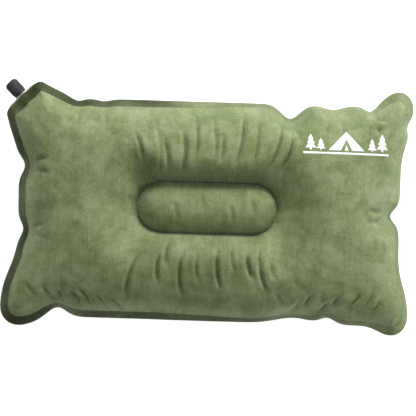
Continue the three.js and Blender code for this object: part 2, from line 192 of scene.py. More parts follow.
# %% [markdown]
# ## A mesh with no grain
#
# A square grid folds along its own rows, which gives away that it is a grid. Cloth cut from a
# triangular scatter of points folds wherever it likes. The points are a honeycomb, moved a
# little at random. Extra lines of points run beside both welds, because the inner layers of
# the pillow start and stop there, and a layer's edge should be a clean line.

# %% Distances to a line
def distance_to(points, loop):
    start, end = loop, np.roll(loop, -1, 0)
    along = end - start
    offset = points[:, None, :] - start[None]
    share = np.clip((offset * along).sum(2) / (along * along).sum(1), 0, 1)
    return np.linalg.norm(offset - share[:, :, None] * along, axis=2).min(1)


def is_inside(points, loop):
    start, end = loop, np.roll(loop, -1, 0)
    x, y = points[:, :1], points[:, 1:]
    crosses = (start[:, 1] > y) != (end[:, 1] > y)
    rise = np.where(start[:, 1] == end[:, 1], 1, end[:, 1] - start[:, 1])
    at = start[:, 0] + (end[:, 0] - start[:, 0]) * (y - start[:, 1]) / rise
    return (crosses & (x < at)).sum(1) % 2 == 1


# %% Scatter the points and join them into triangles
FILM_START = 0.003
FOAM_START = 0.009
guides = [cut_outline(-FILM_START), cut_outline(-FOAM_START)]
guides += [ring_outline(offset) for offset in (-FOAM_START, FOAM_START)]
loops = [list(map(tuple, weld_line)), list(map(tuple, ring_line))] + guides

shuffle = random.Random(SEED)
lattice = []
rows = int(2 * CUT_HALF_WIDTH / (STEP * math.sqrt(3) / 2))
columns = int(2 * CUT_HALF_LENGTH / STEP)
for row in range(rows + 1):
    for column in range(columns + 1):
        x = -CUT_HALF_LENGTH + STEP * (column + 0.5 * (row % 2)) + shuffle.uniform(-0.12, 0.12) * STEP
        y = -CUT_HALF_WIDTH + STEP * row * math.sqrt(3) / 2 + shuffle.uniform(-0.12, 0.12) * STEP
        lattice.append((x, y))
lattice = np.array(lattice)
keep = is_inside(lattice, weld_line)
for loop in loops:
    keep &= distance_to(lattice, np.array(loop)) > 0.55 * STEP
lattice = lattice[keep]

flat_points, loop_edges = [], []
for loop in loops:
    first = len(flat_points)
    flat_points += loop
    loop_edges += [(first + i, first + (i + 1) % len(loop)) for i in range(len(loop))]
flat_points += [tuple(p) for p in lattice]
made_points, _, made_faces, *_ = delaunay_2d_cdt(
    [Vector(p) for p in flat_points], loop_edges, [], 1, 1e-6
)
assert len(made_points) == len(flat_points), "a point was merged"
cloth_flat = np.array([(p.x, p.y) for p in made_points])
triangles = np.array([list(f) for f in made_faces])
corners = cloth_flat[triangles]
sides = corners[:, 1:] - corners[:, :1]
clockwise = sides[:, 0, 0] * sides[:, 1, 1] < sides[:, 0, 1] * sides[:, 1, 0]
triangles[clockwise] = triangles[clockwise][:, ::-1]
print("one cloth:", len(cloth_flat), "points,", len(triangles), "triangles")

# %% [markdown]
# ## Two cloths, one rim
#
# Both cloths share the points on the two welds, which is what a weld does. Everywhere else the
# lower cloth has points of its own. The rim outside the weld is one strip while the solver
# works: its two layers are fused, and they bend as one.

# %% Join two cloths and the rim
weld_count, ring_count = len(weld_line), len(ring_line)
shared = weld_count + ring_count
cloth_count = len(cloth_flat)
lower_of = np.arange(cloth_count)
lower_of[shared:] += cloth_count - shared
flat_cut = np.vstack([cloth_flat, cloth_flat[shared:]])
rim_rows = max(2, round(RIM_WIDTH / STEP)) + 1
rim_loops = [np.arange(weld_count)]
for row in range(1, rim_rows + 1):
    rim_loops.append(len(flat_cut) + np.arange(weld_count))
    flat_cut = np.vstack([flat_cut, np.array(cut_outline(RIM_WIDTH * row / rim_rows))])
rim_points = np.concatenate(rim_loops[1:])
on_rim_or_weld = np.concatenate([rim_loops[0], rim_points])

rim_quads = []
for inner, outer in zip(rim_loops[:-1], rim_loops[1:]):
    rim_quads += [
        (int(inner[i]), int(inner[(i + 1) % weld_count]), int(outer[(i + 1) % weld_count]), int(outer[i]))
        for i in range(weld_count)
    ]
rim_quads = [quad[::-1] for quad in rim_quads]
solver_faces = [tuple(map(int, t)) for t in triangles]
solver_faces += [tuple(int(lower_of[v]) for v in t[::-1]) for t in triangles]
solver_faces += rim_quads
print("solver mesh:", len(flat_cut), "points,", len(solver_faces), "faces")

# %% [markdown]
# ## Where the edge buckles
#
# When the cloths swell, the edge of the flat cut is too long for the pillow, and it buckles into
# scallops. Left alone, the solver picks those places at random. On a pillow that has been
# rolled up many times they are always the same ones, so the start mesh gets a small notch at
# each: pushed inwards, and tipped up or down. The rest shape stays the flat cut.

# %% Start the notches
NOTCH_DEPTH = 0.016
NOTCH_TIP = 0.014
NOTCH_WIDTH = 0.014
TOP_EDGE, LOW_EDGE = CUT_HALF_WIDTH, -CUT_HALF_WIDTH
LEFT_EDGE, RIGHT_EDGE = -CUT_HALF_LENGTH, CUT_HALF_LENGTH
# place on the weld line, direction inwards, strength, tipped up (1) or down (-1)
NOTCHES = [
    ((0.103, TOP_EDGE), (0, -1), 1.2, -1),
    ((-0.156, TOP_EDGE), (0, -1), 0.6, -1),
    ((0.207, TOP_EDGE), (0, -1), 0.6, -1),
    ((-0.190, LOW_EDGE), (0, 1), 1.0, -1),
    ((0.149, LOW_EDGE), (0, 1), 1.0, 1),
    ((0.020, LOW_EDGE), (0, 1), 0.2, 1),
    ((LEFT_EDGE, 0.054), (1, 0), 0.8, 1),
    ((LEFT_EDGE, -0.036), (1, 0), 0.7, -1),
    ((RIGHT_EDGE, -0.012), (-1, 0), 0.8, -1),
]
START_GAP = 0.002
START_NOISE = 0.0003

start_points = np.column_stack([flat_cut, np.zeros(len(flat_cut))])
for i in range(shared, cloth_count):
    start_points[i, 2] = START_GAP + shuffle.uniform(-1, 1) * START_NOISE
    start_points[lower_of[i], 2] = -START_GAP + shuffle.uniform(-1, 1) * START_NOISE
for i in rim_points:
    start_points[i, 2] = shuffle.uniform(-1, 1) * START_NOISE
for place, inwards, strength, tip in NOTCHES:
    away = np.linalg.norm(start_points[:, :2] - np.array(place), axis=1)
    near = strength * np.exp(-((away / NOTCH_WIDTH) ** 2))
    start_points[:, :2] += np.array(inwards) * (NOTCH_DEPTH * near)[:, None]
    start_points[on_rim_or_weld, 2] += tip * NOTCH_TIP * near[on_rim_or_weld]
print(len(NOTCHES), "notches")


# %% [markdown]
# ## Let the air in
#
# The Cloth modifier's pressure pushes every face outwards, as air does. Gravity is off, because
# the air and the foam carry the shape. Pressure leaves the rim out, through a vertex group.
# After the last frame the points are read and the solver is thrown away, so nothing is left
# running on the finished mesh.

# %% The cloth solver
def swell(frames=45):
    mesh = bpy.data.meshes.new("solver_mesh")
    mesh.from_pydata(start_points.tolist(), [], solver_faces)
    solver = bpy.data.objects.new("solver", mesh)
    scene.collection.objects.link(solver)
    bpy.context.view_layer.objects.active = solver
    solver.shape_key_add(name="start")
    rest = solver.shape_key_add(name="flat_cut")
    rest.data.foreach_set("co", np.column_stack([flat_cut, np.zeros(len(flat_cut))]).ravel())
    rest.value = 0
    blown = solver.vertex_groups.new(name="blown")
    blown.add(np.setdiff1d(np.arange(len(flat_cut)), rim_points).tolist(), 1.0, "REPLACE")
    cloth = solver.modifiers.new("cloth", "CLOTH")
    cloth.point_cache.frame_end = frames
    cloth.collision_settings.use_collision = False
    knit = cloth.settings
    knit.quality = 8
    knit.mass = 0.25
    knit.air_damping = 1
    knit.tension_stiffness = knit.compression_stiffness = 40
    knit.shear_stiffness = 10
    knit.bending_stiffness = 0.15
    knit.tension_damping = knit.compression_damping = knit.shear_damping = 5
    knit.bending_damping = 0.5
    knit.use_pressure = True
    knit.uniform_pressure_force = 20
    knit.vertex_group_pressure = "blown"
    knit.effector_weights.gravity = 0
    knit.rest_shape_key = rest
    scene.frame_start, scene.frame_end = 1, frames
    for number in range(1, frames + 1):
        scene.frame_set(number)
    shape = solver.evaluated_get(bpy.context.evaluated_depsgraph_get())
    points = np.empty(len(flat_cut) * 3)
    shape.data.vertices.foreach_get("co", points)
    bpy.data.objects.remove(solver)
    bpy.data.meshes.remove(mesh)
    scene.frame_set(1)
    return points.reshape(-1, 3)


swollen = swell()
print("swollen", np.ptp(swollen, axis=0).round(4))

# %% [markdown]
# ## The edge, as it really lies
#
# Air pulls the edge of a pillow in between its corners, so each side is a shallow bow and each
# corner is left as a lobe. On the bow, the edge buckles into scallops at a few places, where the
# cloth has taken a set. Both are formulas here. A side has one bow, and each scallop on it has a
# place, a depth and a reach, listed below.

# %% The bow and the scallops of each side
# millimetres: how deep the bow is, how long its two corner lobes are, how wide the rim looks at
# its two ends, and each scallop's place along the side, depth and reach
TOP_SIDE = dict(bow=20, lobes=(63, 38), rim=(9, 5), scallops=[
    (-157, 4, 9), (-125, 3, 10), (95, 17, 15), (145, 5, 14), (190, 7, 9),
])
LOW_SIDE = dict(bow=12, lobes=(48, 38), rim=(9, 5), scallops=[(-173, 11, 15), (105, 7, 28), (145, 8, 12)])
LEFT_SIDE = dict(bow=18, lobes=(72, 72), rim=(10, 9), scallops=[(44, 8, 12), (-31, 6, 11)])
RIGHT_SIDE = dict(bow=13, lobes=(65, 65), rim=(5, 6), scallops=[(-3, 11, 10), (103, 5, 9)])


def smooth_step(value, start, end):
    share = np.clip((value - start) / (end - start), 0, 1)
    return share * share * (3 - 2 * share)


def scallops_of(side, place):
    """How far the scallops alone pull this side in at a place, in metres."""
    return sum(
        depth * MM * np.exp(-(((place / MM - at) / reach) ** 2))
        for at, depth, reach in side["scallops"]
    )


def pull_of(side, place, half_side):
    """How far the bow and the scallops pull this side in at a place, in metres."""
    first, last = side["lobes"]
    rise = 1 - np.exp(-((np.maximum(half_side + place, 0) / (first * MM)) ** 4))
    fall = 1 - np.exp(-((np.maximum(half_side - place, 0) / (last * MM)) ** 4))
    return side["bow"] * MM * rise * fall + scallops_of(side, place)


def rim_of(side, place, half_side):
    """How wide the rim looks from above: full at the corners, narrower where a scallop tips it."""
    first, last = side["rim"]
    share = np.clip((place + half_side) / (2 * half_side), 0, 1)
    middle = (first + (last - first) * smooth_step(share, 0.35, 0.65)) * MM - 0.3 * scallops_of(side, place)
    in_corner = smooth_step(np.abs(place) / half_side, 0.80, 0.95)
    return middle + in_corner * (0.9 * RIM_WIDTH - middle)


# %% The outer edge and the weld line inside it
EDGE_ROOM = 0.0006
flat_edge = flat_cut[rim_loops[-1]]
edge_scale = np.array([PILLOW_LENGTH / 2 - EDGE_ROOM, PILLOW_WIDTH / 2 - EDGE_ROOM])
edge_scale = edge_scale / flat_edge.max(0)
edge_line = flat_edge * edge_scale
half_x, half_y = PILLOW_LENGTH / 2, PILLOW_WIDTH / 2
near_top, near_low = smooth_step(edge_line[:, 1], 0.02, half_y), smooth_step(-edge_line[:, 1], 0.02, half_y)
near_left = smooth_step(-edge_line[:, 0], 0.10, half_x)
near_right = smooth_step(edge_line[:, 0], 0.10, half_x)
pulled = edge_line.copy()
pulled[:, 1] -= near_top * pull_of(TOP_SIDE, edge_line[:, 0], half_x)
pulled[:, 1] += near_low * pull_of(LOW_SIDE, edge_line[:, 0], half_x)
pulled[:, 0] += near_left * pull_of(LEFT_SIDE, edge_line[:, 1], half_y)
pulled[:, 0] -= near_right * pull_of(RIGHT_SIDE, edge_line[:, 1], half_y)

# the cut corner goes to the valve
half_cut = VALVE_CORNER / 2
cut_middle = np.array([half_cut - CUT_HALF_LENGTH, CUT_HALF_WIDTH - half_cut]) + VALVE_OUT[:2] * RIM_WIDTH
cut_along = (flat_edge - cut_middle) @ VALVE_ALONG[:2]
cut_out = (flat_edge - cut_middle) @ VALVE_OUT[:2]
at_valve = (1 - smooth_step(np.abs(cut_along), 0.024, 0.036)) * (cut_out > -0.03)
on_cut = VALVE_PLACE[:2] + cut_along[:, None] * VALVE_ALONG[:2] + cut_out[:, None] * VALVE_OUT[:2]
pulled += at_valve[:, None] * (on_cut - pulled)

edge_run = np.roll(pulled, -2, 0) - np.roll(pulled, 2, 0)
edge_run /= np.linalg.norm(edge_run, axis=1)[:, None]
edge_out = np.column_stack([edge_run[:, 1], -edge_run[:, 0]])
weights = np.column_stack([near_top, near_low, near_left, near_right]) ** 4 + 1e-9
widths = np.column_stack([
    rim_of(TOP_SIDE, pulled[:, 0], half_x), rim_of(LOW_SIDE, pulled[:, 0], half_x),
    rim_of(LEFT_SIDE, pulled[:, 1], half_y), rim_of(RIGHT_SIDE, pulled[:, 1], half_y),
])
rim_seen = (weights * widths).sum(1) / weights.sum(1)
rim_seen += at_valve * (RIM_WIDTH - rim_seen)
rim_seen = np.clip(rim_seen, 0.4 * RIM_WIDTH, RIM_WIDTH)
rim_lean = np.arccos(rim_seen / RIM_WIDTH)
weld_place = pulled - edge_out * rim_seen[:, None]
print("rim leans up to", round(math.degrees(rim_lean.max())), "degrees")

# %% [markdown]
# ## Lead the cloth to that edge
#
# Each point of the weld line now has a place to go. A point inside follows the weld points near
# it, less and less the further in it lies. That keeps the cloth smooth, with no point crossing
# another.

# %% Move the points across the plane
CLOTH_THICKNESS = 0.0008
FILM_THICKNESS = 0.0003
COVER_FACE = 0.00155  # a cover's outer face, outwards from the surface that all layers follow
RIM_FACE = 0.00095  # the same on the rim, where no film lies between the cloths
FILM_FACE = 0.00045
FOAM_FACE = -0.0012
cloth_weld_distance = distance_to(cloth_flat, weld_line)
cloth_ring_distance = distance_to(cloth_flat, ring_line)
cloth_ring_distance[is_inside(cloth_flat, ring_line)] *= -1
weld_move = weld_place - weld_line * edge_scale


def follow_weld(values, soften=0.004):
    """Spreads a value on the weld line over the cloth, each point taking most from the nearest."""
    away = np.linalg.norm(cloth_flat[:, None] - weld_line[None], axis=2)
    pull = 1 / (away**2 + soften**2) ** 2
    return (pull[:, :, None] * values[None]).sum(1) / pull.sum(1)[:, None]


fade_in = np.exp(-((cloth_weld_distance / 0.055) ** 2))
cloth_place = cloth_flat * edge_scale + follow_weld(weld_move) * fade_in[:, None]
cloth_place[:weld_count] = weld_place
print("cloth led to the edge", cloth_place.min(0).round(4), cloth_place.max(0).round(4))

# %% [markdown]
# ## A full shape with the solver's folds
#
# Foam fills a real pillow like this, so it is rounder and calmer than a bag of air. The large
# shape is a formula: high in the middle, rounded across, and diving to both welds. The small
# folds come from the solver. What they are is the solver's height less a smoothed copy of it,
# and a share of that is laid on the large shape.

# %% Smooth a height over the mesh
all_sides = np.vstack([triangles[:, [0, 1]], triangles[:, [1, 2]], triangles[:, [2, 0]]])
links = np.unique(np.sort(all_sides, 1), axis=0)


def smoothed(values, rounds, free):
    calm = values.copy()
    count = np.bincount(links.ravel(), minlength=len(values))
    for _ in range(rounds):
        total = np.bincount(links[:, 0], calm[links[:, 1]], len(values))
        total += np.bincount(links[:, 1], calm[links[:, 0]], len(values))
        calm[free] = (total / count)[free]
    return calm


def folds_of(points):
    """The solver's folds alone, as a height."""
    height = points[:, 2] * (0.045 / np.abs(points[:, 2]).max())
    return height - smoothed(height, 30, np.arange(cloth_count) >= shared)


# %% Large shape plus folds
ISLAND_HEIGHT = 0.031
CREASE_RUN = 0.036
CREASE_RUN_AT_ENDS = 0.070
FOLD_SHARE = 0.13
FOLD_SHARE_AT_WELD = 0.60


def ring_rise(distance, run, soft):
    """From 0 at the middle weld to 1: a quarter circle where it is crisp, an S where it is soft."""
    crisp_rise = np.sqrt(1 - (1 - np.clip(distance / run, 0, 1)) ** 2)
    return crisp_rise + 0.35 * soft * (smooth_step(distance, 0, run) - crisp_rise)


def large_shape(edge_run_length):
    end = np.sqrt(np.clip(1 - np.abs(cloth_flat[:, 0] / CUT_HALF_LENGTH) ** 3.4, 0, 1))
    side = np.sqrt(np.clip(1 - np.abs(cloth_flat[:, 1] / CUT_HALF_WIDTH) ** 2.0, 0, 1))
    edge = 1 - np.exp(-cloth_weld_distance / edge_run_length)
    # the middle weld is crisp along its straight sides, and opens into a soft hollow at its ends
    soft = smooth_step(np.abs(cloth_flat[:, 0]), RING_HALF_LENGTH - RING_HALF_WIDTH, RING_HALF_LENGTH + 0.008)
    run = CREASE_RUN + soft * (CREASE_RUN_AT_ENDS - CREASE_RUN)
    dome = end * side * edge * ring_rise(cloth_ring_distance, run, soft)
    island = ring_rise(-cloth_ring_distance, RING_HALF_WIDTH, soft)
    return dome, np.where(cloth_ring_distance < 0, island, 0)


def soft_limit(depth, limit, start=0.62):
    """Depths past a share of the limit are drawn in, so that the deepest just reaches it."""
    share = depth / limit
    most = math.tanh((share.max() - start) / (1 - start))
    pressed = start + (1 - start) * np.tanh((share - start) / (1 - start)) / most
    return limit * np.where(share > start, pressed, share)


def cloth_heights(side, edge_run_length):
    dome, island = large_shape(edge_run_length)
    crown = PILLOW_HEIGHT - WELD_Z - COVER_FACE
    solved = swollen if side > 0 else swollen[lower_of] * [1, 1, -1]
    folds = folds_of(solved[:cloth_count])
    settle = smooth_step(cloth_weld_distance, 0, 0.006) * smooth_step(np.abs(cloth_ring_distance), 0, 0.008)
    at_weld = np.exp(-((cloth_weld_distance / 0.025) ** 2))
    fold_share = FOLD_SHARE + (FOLD_SHARE_AT_WELD - FOLD_SHARE) * at_weld
    height = crown * dome / dome.max() + ISLAND_HEIGHT * island + fold_share * folds * settle
    free = np.arange(cloth_count) >= shared
    height = np.where(free, np.maximum(height, 0.0006), 0)
    height *= crown / height.max()
    return height if side > 0 else soft_limit(height, WELD_Z - COVER_FACE)


upper_height = cloth_heights(1, 0.0080)
lower_height = cloth_heights(-1, 0.0115)
print("heights", upper_height.max().round(4), lower_height.max().round(4))

# %% [markdown]
# ## The rim
#
# The welded rim keeps its width. Where it looks narrow from above, it leans down about the weld
# line. It also keeps the solver's own small waves, except at the valve, where the boot holds it
# level.

# %% Put the points together
weld_wave = swollen[rim_loops[0], 2] - swollen[rim_loops[0], 2].mean()
away_from_valve = smooth_step(np.linalg.norm(weld_place - VALVE_PLACE[:2], axis=1), 0.035, 0.065)
weld_wave = np.clip(weld_wave * 0.7, -0.007, 0.007) * away_from_valve
cloth_wave = follow_weld(weld_wave[:, None])[:, 0] * np.exp(-((cloth_weld_distance / 0.03) ** 2))
cloth_wave[:weld_count] = weld_wave
cloth_wave[weld_count:shared] = 0

pillow_points = np.zeros((len(flat_cut), 3))
pillow_points[:cloth_count, :2] = pillow_points[lower_of, :2] = cloth_place
pillow_points[:cloth_count, 2] = WELD_Z + upper_height + cloth_wave
pillow_points[lower_of[shared:], 2] = (WELD_Z - lower_height + cloth_wave)[shared:]
rim_wave = swollen[rim_loops[-1], 2] - swollen[rim_loops[0], 2]
rim_wave = np.clip(rim_wave * 0.5, -0.004, 0.004) * away_from_valve * (rim_seen / RIM_WIDTH)
for row, loop in enumerate(rim_loops[1:], 1):
    share = row / rim_rows
    reach = RIM_WIDTH * share
    pillow_points[loop, :2] = weld_place + edge_out * (reach * np.cos(rim_lean))[:, None]
    pillow_points[loop, 2] = WELD_Z + weld_wave - reach * np.sin(rim_lean) + rim_wave * share
print("pillow", pillow_points.min(0).round(4), pillow_points.max(0).round(4))

# %% [markdown]
# ## Cloth, film and foam from one surface
#
# On the real pillow each cloth is backed with an air-tight film, and the film is bonded to the
# foam. So all the layers follow one surface. Each layer here is a patch of the fitted mesh, moved
# out or in along its normals; the cloths and films are first smoothed once with a subdivision
# surface. Every point also carries its place in the flat cut, because a weave or a nap runs with
# the cloth, not with the room.

# %% Normals and patches
first_rim_point = len(flat_cut) - len(rim_points)
rim_local = {int(g): cloth_count + int(g) - first_rim_point for g in rim_points}
rim_distance = np.repeat(np.arange(1, rim_rows + 1) * RIM_WIDTH / rim_rows, weld_count)


def keep_triangles(outside=None, inside=None):
    """The triangles that lie within one loop and beyond another."""
    middles = cloth_flat[triangles].mean(1)
    kept = np.ones(len(triangles), bool)
    if outside is not None:
        kept &= is_inside(middles, np.array(outside))
    if inside is not None:
        kept &= ~is_inside(middles, np.array(inside))
    return triangles[kept]


def make_object(name, points, faces, flat, past_weld, from_ring):
    mesh = bpy.data.meshes.new(name)
    mesh.from_pydata(points.tolist(), [], [tuple(map(int, f)) for f in faces])
    for label, kind, values in (
        ("cut", "FLOAT_VECTOR", flat),
        ("past_weld", "FLOAT", past_weld),
        ("from_ring", "FLOAT", from_ring),
    ):
        layer = mesh.attributes.new(label, kind, "POINT")
        layer.data.foreach_set("vector" if kind == "FLOAT_VECTOR" else "value", values.ravel())
    made = bpy.data.objects.new(name, mesh)
    scene.collection.objects.link(made)
    return made


def bake_modifiers(made):
    shape = made.evaluated_get(bpy.context.evaluated_depsgraph_get())
    mesh = bpy.data.meshes.new_from_object(shape)
    old = made.data
    made.modifiers.clear()
    made.data = mesh
    bpy.data.meshes.remove(old)
    mesh.name = made.name
    mesh.shade_smooth()
    return made


def read_points(mesh):
    points = np.empty(len(mesh.vertices) * 3)
    mesh.vertices.foreach_get("co", points)
    return points.reshape(-1, 3)


def read_normals(mesh):
    normals = np.empty(len(mesh.vertices) * 3)
    mesh.vertices.foreach_get("normal", normals)
    return normals.reshape(-1, 3)


def read_layer(mesh, label):
    values = np.empty(len(mesh.vertices))
    mesh.attributes[label].data.foreach_get("value", values)
    return values


# %% Room for the boot
def boot_half_height(along):
    """The valve boot is a lens in cross-section, with a thin wing on each side."""
    lens_half_width, thickest, wing = 0.013, 0.0043, 0.00045
    lens = np.cos(np.pi / 2 * np.clip(np.abs(along) / lens_half_width, 0, 1)) ** 2
    return wing + (thickest - wing) * lens


def clear_the_boot(points, side):
    """Lifts the cloth clear of the boot that it is welded round."""
    along, out = valve_distances(points)
    beside = 1 - smooth_step(np.abs(along), 0.0198, 0.0235)
    within = beside * smooth_step(out, -0.021, -0.0145)
    needed = boot_half_height(along) + 0.0003 + CLOTH_THICKNESS
    height = (points[:, 2] - WELD_Z) * side
    lifted = height + within * np.maximum(needed - height, 0)
    points[:, 2] = WELD_Z + side * lifted
    return points


# %% [markdown]
# ## Creases
#
# Some folds are too fine for the solver's mesh. They fan out from the long sides of the middle
# weld, and they pucker the lower corners and the scallops, where the bowed edge has more cloth
# than it needs. Their pattern is regular and their places aren't, so loops lay them out and a
# seeded random draw shifts each one. Across a crease the cloth dips, with a small lip each side.

# %% Lay the creases out, each with two ends, a depth and a width in millimetres
crease_draw = np.random.default_rng(12)
creases = []


def add_crease(start, end, depth, width):
    creases.append((np.array(start, float), np.array(end, float), depth, width))


RING_EDGE = RING_HALF_WIDTH / MM
for way, count in ((1, 11), (-1, 10)):
    for place in np.linspace(-72, 78, count):
        place += crease_draw.uniform(-5, 5)
        near = way * (RING_EDGE + crease_draw.uniform(4, 20))
        length = crease_draw.uniform(26, 60)
        lean = 0.0035 * place + crease_draw.uniform(-0.08, 0.12)
        depth, width = crease_draw.uniform(2.8, 6.0), crease_draw.uniform(2.3, 3.1)
        add_crease((place + lean * length, near + way * length), (place, near), depth, width)

for place in (-38, -8, 26, 50):  # short ones on the island
    high = crease_draw.uniform(4, 22)
    add_crease((place, high), (place + 3, high - 20), crease_draw.uniform(1.6, 2.6), 2.8)

for first, last, slant in ((-208, -108, 14), (112, 208, -14)):
    for place in np.linspace(first, last, 7):
        place += crease_draw.uniform(-5, 5)
        high = -92 - crease_draw.uniform(0, 14)
        add_crease((place, high), (place + slant, high - 17), crease_draw.uniform(2.2, 4.4), 3.0)

for side, turn in ((TOP_SIDE, (0, 1)), (LOW_SIDE, (0, -1)), (LEFT_SIDE, (-1, 0)), (RIGHT_SIDE, (1, 0))):
    outwards = np.array(turn)
    sideways = np.abs(outwards[::-1])
    half_side = abs(outwards @ [half_x, half_y]) / MM
    for at, scallop_depth, reach in side["scallops"]:
        weld = half_side - side["bow"] - scallop_depth - RIM_WIDTH / MM
        for spread in (-0.5, 0.4):
            start = outwards * (weld - 4) + sideways * (at + spread * reach)
            end = outwards * (weld - 20) + sideways * (at + 1.7 * spread * reach)
            add_crease(start, end, crease_draw.uniform(1.8, 3.0), 3.0)
print(len(creases), "creases")


# %% Press them into a cloth
def crease_dip(mesh, mirror=1):
    """How far the creases dip at each point, in metres; below 0 on the lips beside them."""
    points = read_points(mesh)
    dip = np.zeros(len(points))
    for start, end, depth, width in creases:
        a, b = start * MM * [1, mirror], end * MM * [1, mirror]
        along = b - a
        share = np.clip(((points[:, :2] - a) @ along) / (along @ along), -0.15, 1.15)
        bend = 0.06 * np.linalg.norm(along) * np.sin(math.pi * share)
        across = np.array([-along[1], along[0]]) / np.linalg.norm(along)
        away = np.linalg.norm(points[:, :2] - a - share[:, None] * along - bend[:, None] * across, axis=1)
        taper = smooth_step(share, -0.15, 0.30) * (1 - smooth_step(share, 0.60, 1.15))
        valley = np.exp(-((away / (width * MM)) ** 2)) - 0.35 * np.exp(-((away / (2.4 * width * MM)) ** 2))
        dip += depth * MM * taper * valley
    free_of_weld = smooth_step(-read_layer(mesh, "past_weld"), 0.001, 0.006)
    free_of_ring = smooth_step(np.abs(read_layer(mesh, "from_ring")), 0.001, 0.005)
    return np.clip(dip, -0.0015, 0.0034) * free_of_weld * free_of_ring


# %% One cloth of the cover, with its creases
def cloth_cover(name, side):
    source = np.arange(cloth_count) if side > 0 else lower_of
    points = pillow_points[np.concatenate([source, rim_points])]
    faces = [tuple(t) for t in triangles]
    faces += [tuple(rim_local.get(v, v) for v in quad) for quad in rim_quads]
    if side < 0:
        faces = [f[::-1] for f in faces]
    flat = np.vstack([cloth_flat, flat_cut[rim_points]])
    flat = np.column_stack([flat, np.full(len(flat), 0.1 * side)])
    past_weld = np.concatenate([-cloth_weld_distance, rim_distance])
    from_ring = np.concatenate([cloth_ring_distance, np.full(len(rim_points), 0.1)])
    cover = make_object(name, points, faces, flat, past_weld, from_ring)
    cover.modifiers.new("smooth", "SUBSURF").levels = 1
    bake_modifiers(cover)
    mesh = cover.data
    inside = smooth_step(-read_layer(mesh, "past_weld"), 0, 0.0025)
    face = RIM_FACE + (COVER_FACE - RIM_FACE) * inside
    normals = read_normals(mesh)
    dip = crease_dip(mesh, side)
    moved = read_points(mesh) + normals * (face - dip)[:, None]
    moved = clear_the_boot(moved, side)
    moved[:, 2] = np.maximum(moved[:, 2], CAD_LOW[2])
    # the creases are painted darker through this share: painted shade in their valleys
    crease_shade = mesh.attributes.new("crease_shade", "FLOAT", "POINT")
    crease_shade.data.foreach_set("value", np.clip(dip / 0.0024, 0, 1))
    mesh.vertices.foreach_set("co", moved.ravel())
    thick = cover.modifiers.new("thickness", "SOLIDIFY")
    thick.thickness = CLOTH_THICKNESS
    thick.offset = -1
    thick.material_offset = thick.material_offset_rim = 1
    return cover


# %% Make both cloths
upper_cover = cloth_cover("upper_cloth", 1)
lower_cover = cloth_cover("lower_cloth", -1)


# %% The air-tight films
def air_film(name, side):
    source = np.arange(cloth_count) if side > 0 else lower_of
    faces = keep_triangles(outside=guides[0])
    used = np.unique(faces)
    local = np.full(cloth_count, -1)
    local[used] = np.arange(len(used))
    faces = local[faces] if side > 0 else local[faces][:, ::-1]
    flat = np.column_stack([cloth_flat[used], np.full(len(used), 0.1 * side)])
    film = make_object(
        name, pillow_points[source[used]], faces, flat,
        -cloth_weld_distance[used], cloth_ring_distance[used],
    )
    film.modifiers.new("smooth", "SUBSURF").levels = 1
    bake_modifiers(film)
    face = FILM_FACE - crease_dip(film.data, side)
    moved = read_points(film.data) + read_normals(film.data) * face[:, None]
    film.data.vertices.foreach_set("co", moved.ravel())
    thick = film.modifiers.new("thickness", "SOLIDIFY")
    thick.thickness = FILM_THICKNESS
    thick.offset = -1
    return bake_modifiers(film)


upper_film = air_film("upper_film", 1)
lower_film = air_film("lower_film", -1)
print("films", len(upper_film.data.polygons), len(lower_film.data.polygons), "faces")


# %% The foam between them
def foam_pad(name, outside, inside=None):
    """A closed pad: an upper face, a lower face, and a wall along every edge between them."""
    faces = keep_triangles(outside=outside, inside=inside)
    edges = {}
    for t in faces:
        for i in range(3):
            edges[(int(t[i]), int(t[(i + 1) % 3]))] = True
    rim = [e for e in edges if (e[1], e[0]) not in edges]
    upper = {v: i for i, v in enumerate(sorted({int(v) for t in faces for v in t}))}
    count = len(upper)
    keys = np.array(list(upper))
    points = np.vstack([pillow_points[keys], pillow_points[lower_of[keys]]])
    shape = [tuple(upper[int(v)] for v in t) for t in faces]
    shape += [tuple(upper[int(v)] + count for v in t[::-1]) for t in faces]
    shape += [(upper[b], upper[a], upper[a] + count, upper[b] + count) for a, b in rim]
    flat = np.vstack([cloth_flat[keys], cloth_flat[keys]])
    flat = np.column_stack([flat, np.repeat([0.1, -0.1], count)])
    pad = make_object(
        name, points, shape, flat,
        np.tile(-cloth_weld_distance[keys], 2), np.tile(cloth_ring_distance[keys], 2),
    )
    bake_modifiers(pad)
    upper_half = np.arange(len(pad.data.vertices)) < count
    face = FOAM_FACE - np.where(upper_half, crease_dip(pad.data), crease_dip(pad.data, -1))
    moved = read_points(pad.data) + read_normals(pad.data) * face[:, None]
    pad.data.vertices.foreach_set("co", moved.ravel())
    return pad


def cut_valve_pocket(pad, radius=0.0048, depth=0.0247):
    """A round pocket for the boot's tube, drilled in from the cut corner."""
    drill_mesh = bpy.data.meshes.new("drill")
    shape = bmesh.new()
    bmesh.ops.create_cone(
        shape, cap_ends=True, segments=32, radius1=radius, radius2=radius, depth=depth
    )
    shape.to_mesh(drill_mesh)
    shape.free()
    drill = bpy.data.objects.new("drill", drill_mesh)
    scene.collection.objects.link(drill)
    drill.rotation_euler = Vector(VALVE_OUT).to_track_quat("Z", "Y").to_euler()
    drill.location = VALVE_PLACE - VALVE_OUT * depth / 2
    hole = pad.modifiers.new("pocket", "BOOLEAN")
    hole.operation = "DIFFERENCE"
    hole.object = drill
    bake_modifiers(pad)
    bpy.data.objects.remove(drill)
    return pad


foam_core = cut_valve_pocket(foam_pad("foam_core_pad", guides[1], guides[3]))
foam_island = foam_pad("foam_island_pad", guides[2])
print("foam", len(foam_core.data.polygons), "and", len(foam_island.data.polygons), "faces")

